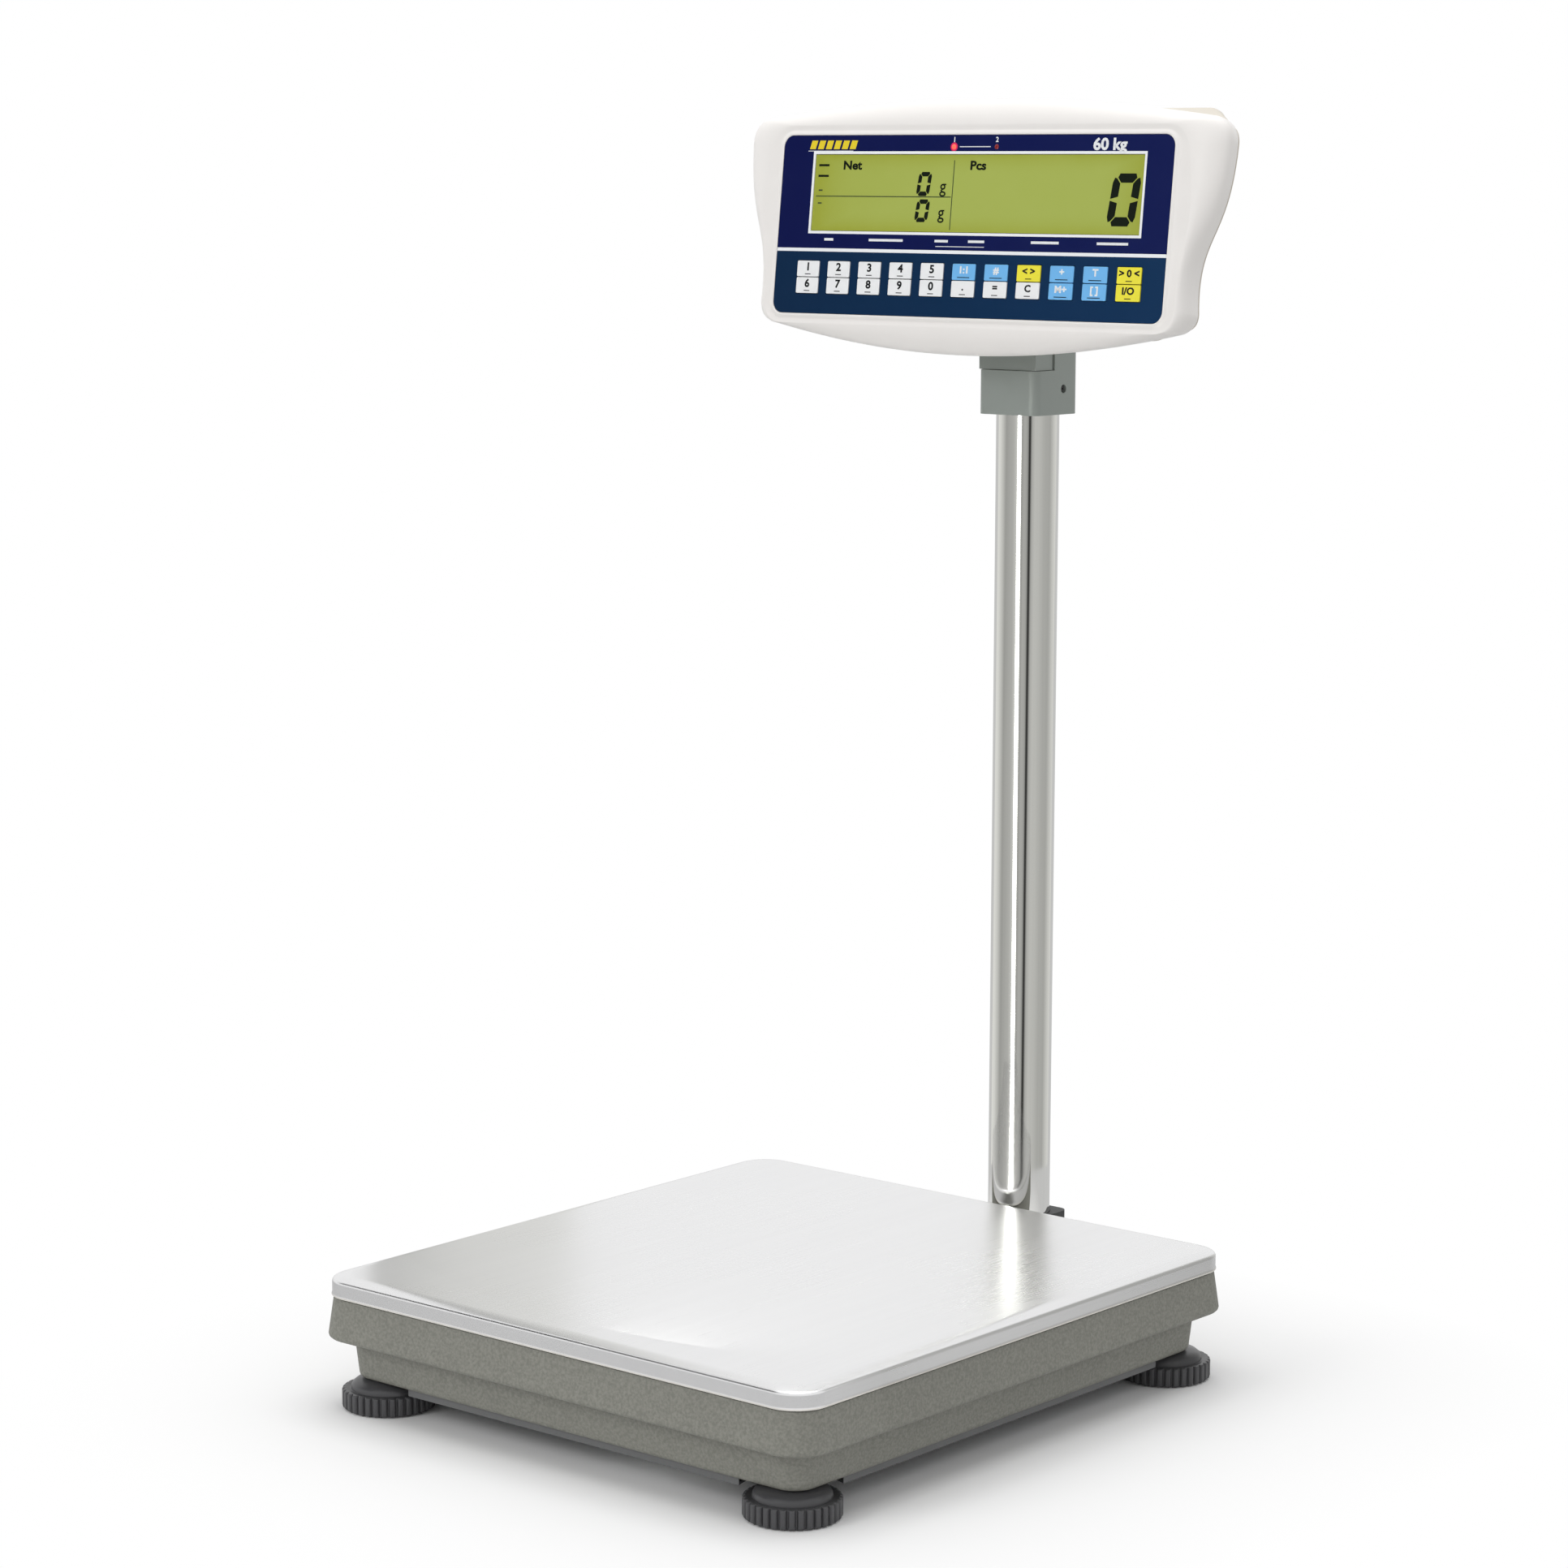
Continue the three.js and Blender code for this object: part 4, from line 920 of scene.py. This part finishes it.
def rear_ring(inset, z):
    """The back of the head, a rounded box that narrows towards the bottom."""
    top, bottom, taper = 74.4, -61.9, 0.0005
    radius = max(14 - inset, 2)
    box = matched(146 - inset, (top - bottom) / 2 - inset, radius, (top + bottom) / 2)
    return at([(x * (1 - taper * (top - y)), y) for x, y in box], z)


def build_rear_shell():
    front, wall, flange = -20.3, 2.5, 10
    widest = head_outline()

    def back(lift):
        return lambda p: lift + back_z(p[1])

    def edge(inset, z):
        return at(pull_in(widest, 3 + inset), z)

    rings = [rear_ring(9, back(0))]
    for turn in (75, 60, 45, 30, 15, 0):
        a = math.radians(turn)
        rings.append(rear_ring(9 * (1 - math.cos(a)), back(8 * (1 - math.sin(a)))))
    rings += [edge(0, front - 0.9), edge(0.9, front)]
    rings += [edge(flange, front), edge(flange, front - wall)]
    rings += [rear_ring(wall, back(9)), rear_ring(7.5, back(wall))]
    shell = loft(rings)
    x, y = PORT
    carve(shell, bar(x - 15.8, x + 15.8, y - 6.55, y + 6.55, -62, front - wall))
    carve(shell, post(5.3, *JACK, -62, front - wall, 48))
    screws = []
    for x, y in ((x, y) for x in (-118, 118) for y in (-50, 58)):
        depth = back_z(y)
        carve(shell, post(4, x, y, depth - 3, depth + 1.6, 32))
        dome = [(2.2, depth + 0.2), (2.9, depth + 0.6), (3, depth + 1.4), (3, depth + 1.9)]
        head = lathe(dome, x, y, 32)
        for wide, tall in ((2, 0.35), (0.35, 2)):
            carve(head, bar(x - wide, x + wide, y - tall, y + tall, depth - 1, depth + 0.8))
        screws.append(paint(head, ZINC))
    label = prism(rounded(32, 14, 2), -10, 0.5)
    slope = Matrix.Rotation(-math.atan(BACK_SLOPE), 4, "X")
    spot = Vector((-62, 22, back_z(22))) * MM
    carve(shell, move(label, Matrix.Translation(spot) @ slope))
    whole = gather(paint(shell, CREAM), *screws)
    finish_piece(whole, "head_back", "head", ["rear_shell"], HEAD)


def build_overlay():
    film = prism(rounded(PANEL_X, PANEL_Y, 7, 0, 0, 12), -FILM, 0)
    carve(film, bar(*LCD, -3, 2))
    for x in key_columns:
        carve(film, bar(x - 8.8, x + 8.8, KEY_MIDDLE - 10.05, KEY_MIDDLE + 10.05, -3, 2))
    paint(soften(film, 0.12, 2, 60), FILM_PRINT)
    finish_piece(film, "printed_panel", "head", ["overlay"], HEAD)


# ---- Display ----


def seven_zero(x0, x1, top, bottom, z):
    """A 0 in seven-segment form, leaning to the right."""
    t, g, slant = 0.27 * (x1 - x0), 0.025 * (x1 - x0), 0.12
    half, middle = t / 2, (top + bottom) / 2

    def lean(points):
        return [(x + slant * (y - middle), y) for x, y in points]

    made = []
    for end, up in ((top, 1), (bottom, -1)):
        outer, elbow, inner = end, end - up * 0.45 * t, end - up * t
        made.append([
            (x0 + 0.8 * t, outer), (x0 + half + g, elbow), (x0 + t + g, inner),
            (x1 - t - g, inner), (x1 - half - g, elbow), (x1 - 0.8 * t, outer),
        ])
        foot, tip = middle + up * g, middle + up * (0.25 * t + g)
        for x, side in ((x0, 1), (x1, -1)):
            made.append([
                (x, foot), (x + side * t, tip), (x + side * t, inner - up * g),
                (x + side * half, elbow - up * g), (x + side * 0.2 * t, elbow), (x, inner),
            ])
    return [thin_plate(lean(points), z) for points in made]


def thin_plate(points, z):
    area = sum(a[0] * b[1] - b[0] * a[1] for a, b in zip(points, points[1:] + points[:1]))
    return prism(points if area > 0 else points[::-1], z, z + 0.05)


def lettering(text, size, x, y, z, finish, stretch=1.0, bold=0.0):
    """Flat lettering centred on a point of the panel."""
    thickness = 0.04
    font = bpy.data.curves.new("lettering", "FONT")
    font.body, font.size, font.extrude = text, size * MM, thickness * MM / 2
    font.align_x, font.align_y = "CENTER", "CENTER"
    font.resolution_u, font.offset = 3, bold * MM
    holder = new_object("lettering", font)
    graph = bpy.context.evaluated_depsgraph_get()
    mesh = bpy.data.meshes.new_from_object(holder.evaluated_get(graph))
    bpy.data.objects.remove(holder)
    made = move(new_object("lettering", mesh), Matrix.Diagonal((stretch, 1, 1, 1)))
    move(made, Matrix.Translation(Vector((x, y, z)) * MM))
    return paint(made, finish)


def stripe(x0, x1, y0, y1, z, finish, thickness=0.04):
    return paint(bar(x0, x1, y0, y1, z, z + thickness), finish)


def build_lcd():
    x0, x1, y0, y1 = LCD[0] + 0.3, LCD[1] - 0.3, LCD[2] + 0.3, LCD[3] - 0.3
    case = soften(bar(x0 - 4.3, x1 + 4.3, y0 - 3, y1 + 3.3, -9, -1.5), 0.5, 2)
    glass = soften(bar(x0, x1, y0, y1, -2.5, -0.35), 0.15, 2)
    module = gather(paint(glass, GLASS), paint(case, BLACK))
    finish_piece(module, "display_glass", "head", ["lcd_module"], HEAD)
    z = -0.34
    marks = [paint(s, DIGIT) for s in seven_zero(101.6, 121.2, 31.3, 1.2, z)]
    for top, bottom in ((31.8, 17.6), (15.6, 2.2)):
        marks += [paint(s, DIGIT) for s in seven_zero(-39.2, -29.4, top, bottom, z)]
        marks.append(lettering("g", 11, -20, bottom + 5.6, z + 0.02, DIGIT, bold=0.08))
    marks.append(stripe(-13.0, -12.4, -2.2, 38.7, z, LCD_LINE))
    marks.append(stripe(-116.8, -13.6, 16.8, 17.4, z, LCD_LINE))
    for word, x in (("Net", -90), ("Pcs", 5)):
        marks.append(lettering(word, 7.2, x, 35.4, z + 0.02, DIGIT, 1.25, bold=0.26))
    marks += [stripe(-116, -108, y, y + 1.3, z, DIGIT) for y in (35.0, 28.6)]
    marks += [stripe(-115, -112, y, y + 0.9, z, LCD_LINE) for y in (20.2, 12.5)]
    finish_piece(gather(*marks), "display_digits", "head", place=HEAD)


def slanted(x, y, width, height, z, finish):
    lean = 0.3 * height
    outline = [(x, y), (x + width, y), (x + width + lean, y + height), (x + lean, y + height)]
    return paint(prism(outline, z, z + 0.04), finish)


LAMP_X, LAMP_Y = (-13.6, 17.9), 46.5


def build_panel_print():
    z = 0.005
    marks = [slanted(-124 + 6.2 * i, 45.2, 4.6, 5.2, z, YELLOW_INK) for i in range(6)]
    marks += [
        stripe(-125, -90, 43.9, 44.3, z, WHITE_INK),
        lettering("60 kg", 9.4, 99, 47.6, z + 0.02, WHITE_INK, 1.15, bold=0.34),
        stripe(-9.4, 13.4, 46.3, 46.8, z, WHITE_INK),
        lettering("1", 4.2, LAMP_X[0], 50.6, z + 0.02, WHITE_INK, bold=0.1),
        lettering("2", 4.2, LAMP_X[1], 50.6, z + 0.02, WHITE_INK, bold=0.1),
    ]
    for x, half in ((-104, 3.5), (-60, 13), (-18, 5), (8, 6), (58, 10), (106, 11)):
        marks.append(stripe(x - half, x + half, -9.6, -8.1, z, WHITE_INK))
    marks.append(stripe(-22, 14, -12.2, -11.8, z, WHITE_INK))
    finish_piece(gather(*marks), "panel_print", "head", place=HEAD)
    bulb = [(1.5, 0.0), (1.45, 0.25), (1.1, 0.5), (0.5, 0.62)]
    lit, unlit = (paint(lathe(bulb, x, LAMP_Y, 32), f) for x, f in zip(LAMP_X, (LAMP_ON, LAMP_OFF)))
    # A glowing red disc on the film round the lit lamp: painted light spill, gathered with the lamp
    glow = paint(post(2.6, LAMP_X[0], LAMP_Y, 0.0, 0.03, 32), PAINTED_LAMP_HALO)
    finish_piece(gather(lit, glow), "lamp_lit", "head", place=HEAD)
    finish_piece(unlit, "lamp_unlit", "head", place=HEAD)


# ---- Keys ----

key_pitch = (2 * PANEL_X - KEY_LEFT - KEY_RIGHT - KEY_WIDTH) / 10
key_columns = [-PANEL_X + KEY_LEFT + KEY_WIDTH / 2 + i * key_pitch for i in range(11)]
KEYS = [
    [("one", "white"), ("six", "white")],
    [("two", "white"), ("seven", "white")],
    [("three", "white"), ("eight", "white")],
    [("four", "white"), ("nine", "white")],
    [("five", "white"), ("zero", "white")],
    [("unit_weight", "blue"), ("point", "white")],
    [("sample", "blue"), ("enter", "white")],
    [("check", "yellow"), ("clear", "white")],
    [("total", "blue"), ("memory", "blue")],
    [("tare", "blue"), ("print", "blue")],
    [("zero_set", "yellow"), ("power", "yellow")],
]
DIGITS = {name: str(i) for i, name in enumerate(
    ("zero", "one", "two", "three", "four", "five", "six", "seven", "eight", "nine"))}
SIGNS = {
    "point": ".", "enter": "=", "clear": "C", "unit_weight": "1:1", "sample": "#", "check": "< >",
    "total": "+", "memory": "M+", "tare": "T", "print": "[ ]", "zero_set": "> 0 <", "power": "I/O",
}


def build_key(name, colour, x, y):
    cap = soften(prism(rounded(KEY_WIDTH / 2, 4.75, 0.7, 0, 0, 4), -3.9, 0.4), 0.2, 2, 60)
    legend = DIGITS.get(name) or SIGNS[name]
    dark = colour != "blue"
    size = 6.6 if name in DIGITS else 5.6
    finish = BLACK_INK if dark else WHITE_INK
    sign = lettering(legend, size, 0, 1.0, 0.42, finish, 1.15, bold=0.22)
    half = 2.2 if dark else 4.5
    note = stripe(-half, half, -3.5, -3.0, 0.4, BLACK_INK)
    key = gather(paint(cap, KEY_COLOURS[colour]), sign, note)
    place = HEAD @ Matrix.Translation(Vector((x, y, 0)) * MM)
    finish_piece(key, f"key_cap_{name}", f"key_{name}", [f"key_{name}"], place)


# ---- Connectors ----


def build_connectors():
    x, y = PORT
    back = back_z(y) - 1.5
    body = soften(bar(x - 15.5, x + 15.5, y - 6.25, y + 6.25, back, back + 16), 0.5, 2)
    shell = prism(rounded(8.5, 4, 2, x, y), back - 5, back + 0.5)
    carve(shell, prism(rounded(8.0, 3.5, 1.6, x, y), back - 6, back - 0.6))
    insert = prism(rounded(7.6, 3.1, 1.4, x, y), back - 1.4, back - 0.4)
    parts = [paint(body, ZINC), paint(shell, ZINC), paint(insert, BLACK)]
    for count, dy in ((5, 1.2), (4, -1.2)):
        for i in range(count):
            px = x + (i - (count - 1) / 2) * 2.77
            parts.append(paint(post(0.5, px, y + dy, back - 4.2, back - 1.3, 12), ZINC))
    for side in (-12.5, 12.5):
        parts.append(paint(prism(circle(2.6, 6, x + side, y), back - 3, back + 0.3), ZINC))
    finish_piece(gather(*parts), "data_socket", "head", ["serial_port"], HEAD)
    x, y = JACK
    back = back_z(y) - 2.5
    barrel = carve(post(5, x, y, back, back + 13, 64), post(3, x, y, back - 1, back + 9, 48))
    pin = lathe([(0.6, back + 1), (1, back + 1.5), (1, back + 10)], x, y, 24)
    parts = [paint(soften(barrel, 0.3, 2), BLACK), paint(pin, ZINC)]
    finish_piece(gather(*parts), "power_socket", "head", ["dc_jack"], HEAD)


# ---- Hidden pieces keep their solids and get a finish ----


def dress(node, finish):
    mesh = frame["nodes"][node].data
    mesh.materials.clear()
    mesh.materials.append(finish)


# ---- Studio ----


def floor_finish():
    """White floor that takes the shadow, and glows evenly white further out."""
    f = Finish("floor", (0.90, 0.90, 0.90), 0.9, Specular_IOR_Level=0.0)
    x, y, _ = f.xyz()
    beyond_x = (abs(x) - half_x * MM).at_least(0)
    beyond_y = (abs(y - plan_y * MM) - half_y * MM).at_least(0)
    away = (beyond_x * beyond_x + beyond_y * beyond_y) ** 0.5
    seen = f.node("ShaderNodeLightPath", {}, {}, "Is Camera Ray")
    dim, full = (
        f.node("ShaderNodeEmission", {}, {"Color": (1, 1, 1, 1), "Strength": power})
        for power in (0.6, 1.0)
    )
    glow = f.node("ShaderNodeMixShader", {}, {0: seen, 1: dim, 2: full})
    lit = Value(f, f.surface.outputs[0])
    whole = f.node("ShaderNodeMixShader", {}, {0: f.spread(away, 0.02, 0.2), 1: lit, 2: glow})
    f.feed(f.tree.nodes["Material Output"].inputs["Surface"], whole)
    return f.material


def build_floor():
    half = 30000
    floor = bar(-half, half, -half, half, -20, -0.02)
    floor.name = "floor"
    paint(floor, floor_finish())


# What the polished column mirrors: bearing at the column from straight towards the
# viewer, right hand positive, and the brightness of the screen there
SCREEN = [
    (-130, 0.80), (-112, 0.74), (-94, 0.55), (-82, 0.37), (-70, 0.41), (-49, 0.47), (-39, 0.60),
    (-35, 0.9), (-33, 13.0), (-25, 13.0), (-23, 0.9), (-19, 0.34), (-11, 0.45), (-2, 0.42),
    (3, 0.30), (6, 0.04), (11, 0.04), (14, 0.30), (18, 0.46), (28, 0.56), (45, 0.54), (66, 0.45),
    (90, 0.42), (110, 0.62), (130, 0.74),
]


def screen_finish():
    """A one-sided light screen, bright and dark by bearing."""
    f = Finish("screen", (0.0, 0.0, 0.0), 1.0)
    x, y, _ = f.xyz()
    turn = y.maths("ARCTAN2", y, x) / (2 * math.pi) + 0.5
    top = max(value for _, value in SCREEN)
    stops = [(a / 360 + 0.5, (v / top, v / top, 0.965 * v / top, 1)) for a, v in SCREEN]
    shade = f.node("ShaderNodeValToRGB", {"stops": stops}, {"Fac": turn})
    glow = f.node("ShaderNodeEmission", {}, {"Color": shade, "Strength": top})
    clear = f.node("ShaderNodeBsdfTransparent", {}, {})
    inside = f.node("ShaderNodeNewGeometry", {}, {}, "Backfacing")
    whole = f.node("ShaderNodeMixShader", {}, {0: inside, 1: clear, 2: glow})
    f.feed(f.tree.nodes["Material Output"].inputs["Surface"], whole)
    return f.material


def build_screen(viewer):
    centre = column * MM
    towards = math.atan2(viewer.y - centre.y, viewer.x - centre.x)
    bm = bmesh.new()
    radius, top, steps = 0.40, 0.57, 90
    start, end = SCREEN[0][0], SCREEN[-1][0]
    rows = []
    for k in range(steps + 1):
        a = math.radians(start + (end - start) * k / steps)
        x, y = radius * math.cos(a), radius * math.sin(a)
        rows.append((bm.verts.new((x, y, 0.0)), bm.verts.new((x, y, top))))
    for (a, b), (c, d) in zip(rows, rows[1:]):
        bm.faces.new((a, c, d, b))
    mesh = bpy.data.meshes.new("screen")
    bm.to_mesh(mesh)
    bm.free()
    screen = new_object("screen", mesh)
    screen.matrix_world = Matrix.Translation((centre.x, centre.y, 0)) @ Matrix.Rotation(towards, 4, "Z")
    screen.visible_camera = screen.visible_diffuse = screen.visible_shadow = False
    screen.visible_transmission = False
    paint(screen, screen_finish())


def build_flag(viewer):
    """A dark card where the printed panel would mirror the bright studio."""
    sight = (viewer - panel_centre * MM).normalized()
    mirrored = 2 * sight.dot(panel_normal) * panel_normal - sight
    flag = bar(-420, 420, -330, 330, -0.5, 0.5)
    flag.matrix_world = Matrix.Translation(panel_centre * MM + mirrored * 1.1) @ (
        mirrored.to_track_quat("Z", "Y").to_matrix().to_4x4()
    )
    flag.name = "flag"
    flag.visible_camera = flag.visible_diffuse = flag.visible_shadow = False
    flag.visible_transmission = False
    paint(flag, Finish("flag", (0.0, 0.0, 0.0), 1.0, Specular_IOR_Level=0.0).material)


def area_light(name, place, aim, size, power, colour=(1, 1, 1)):
    data = bpy.data.lights.new(name, "AREA")
    data.shape, data.size, data.size_y = "RECTANGLE", *size
    data.energy, data.color = power, colour
    lamp = new_object(name, data)
    lamp.location = place
    lamp.rotation_mode = "QUATERNION"
    lamp.rotation_quaternion = (Vector(aim) - Vector(place)).to_track_quat("-Z", "Y")
    return lamp


def build_studio():
    scene = bpy.context.scene
    scene.view_settings.view_transform = "Standard"
    world = bpy.data.worlds.new("studio")
    scene.world = world
    world.use_nodes = True
    nodes, links = world.node_tree.nodes, world.node_tree.links
    sky = nodes["Background"]
    sky.inputs["Color"].default_value = (1, 1, 1, 1)
    path, seen = nodes.new("ShaderNodeLightPath"), nodes.new("ShaderNodeMapRange")
    links.new(path.outputs["Is Diffuse Ray"], seen.inputs[0])
    seen.inputs[3].default_value, seen.inputs[4].default_value = 1.0, 0.74
    links.new(seen.outputs[0], sky.inputs["Strength"])
    area_light("overhead", (0.0, 0.1, 2.6), (0, 0, 0), (2.0, 2.0), 22)
    area_light("front", (-0.7, -2.6, 1.5), (0, 0, 0.45), (1.2, 1.2), 17).visible_glossy = False
    data = bpy.data.cameras.new("camera")
    data.lens, data.sensor_width = 95.2, 36
    data.clip_start, data.clip_end = 0.05, 100
    camera = new_object("camera", data)
    right = Vector((0.76330505, 0.64603123, 0.00300948))
    up = Vector((-0.09662751, 0.10955982, 0.98927234))
    ahead = Vector((-0.63877111, 0.75540737, -0.14605195))
    turn = Matrix((right, up, -ahead)).transposed().to_4x4()
    camera.matrix_world = Matrix.Translation((1.50352, -1.80247, 0.69937)) @ turn
    scene.camera = camera
    build_floor()
    build_screen(camera.matrix_world.translation)
    build_flag(camera.matrix_world.translation)


# ---- Everything ----

build_pan()
build_platform()
build_base()
build_load_cell()
build_cover()
for corner in CORNERS:
    build_foot(corner)
build_bracket()
build_collar()
build_tilt_bracket()
build_front_shell()
build_rear_shell()
build_overlay()
build_lcd()
build_panel_print()
build_connectors()
for x, pair in zip(key_columns, KEYS):
    for (name, colour), lift in zip(pair, (KEY_SHIFT, -KEY_SHIFT)):
        build_key(name, colour, x, KEY_MIDDLE + lift)
HIDDEN = {
    "cell_live_spacer": ZINC, "cell_base_spacer": ZINC, "tilt_pin": ZINC,
    "keypad_board": BOARD, "main_board": BOARD, "battery": BLACK,
}
for node, finish in HIDDEN.items():
    dress(node, finish)
build_studio()
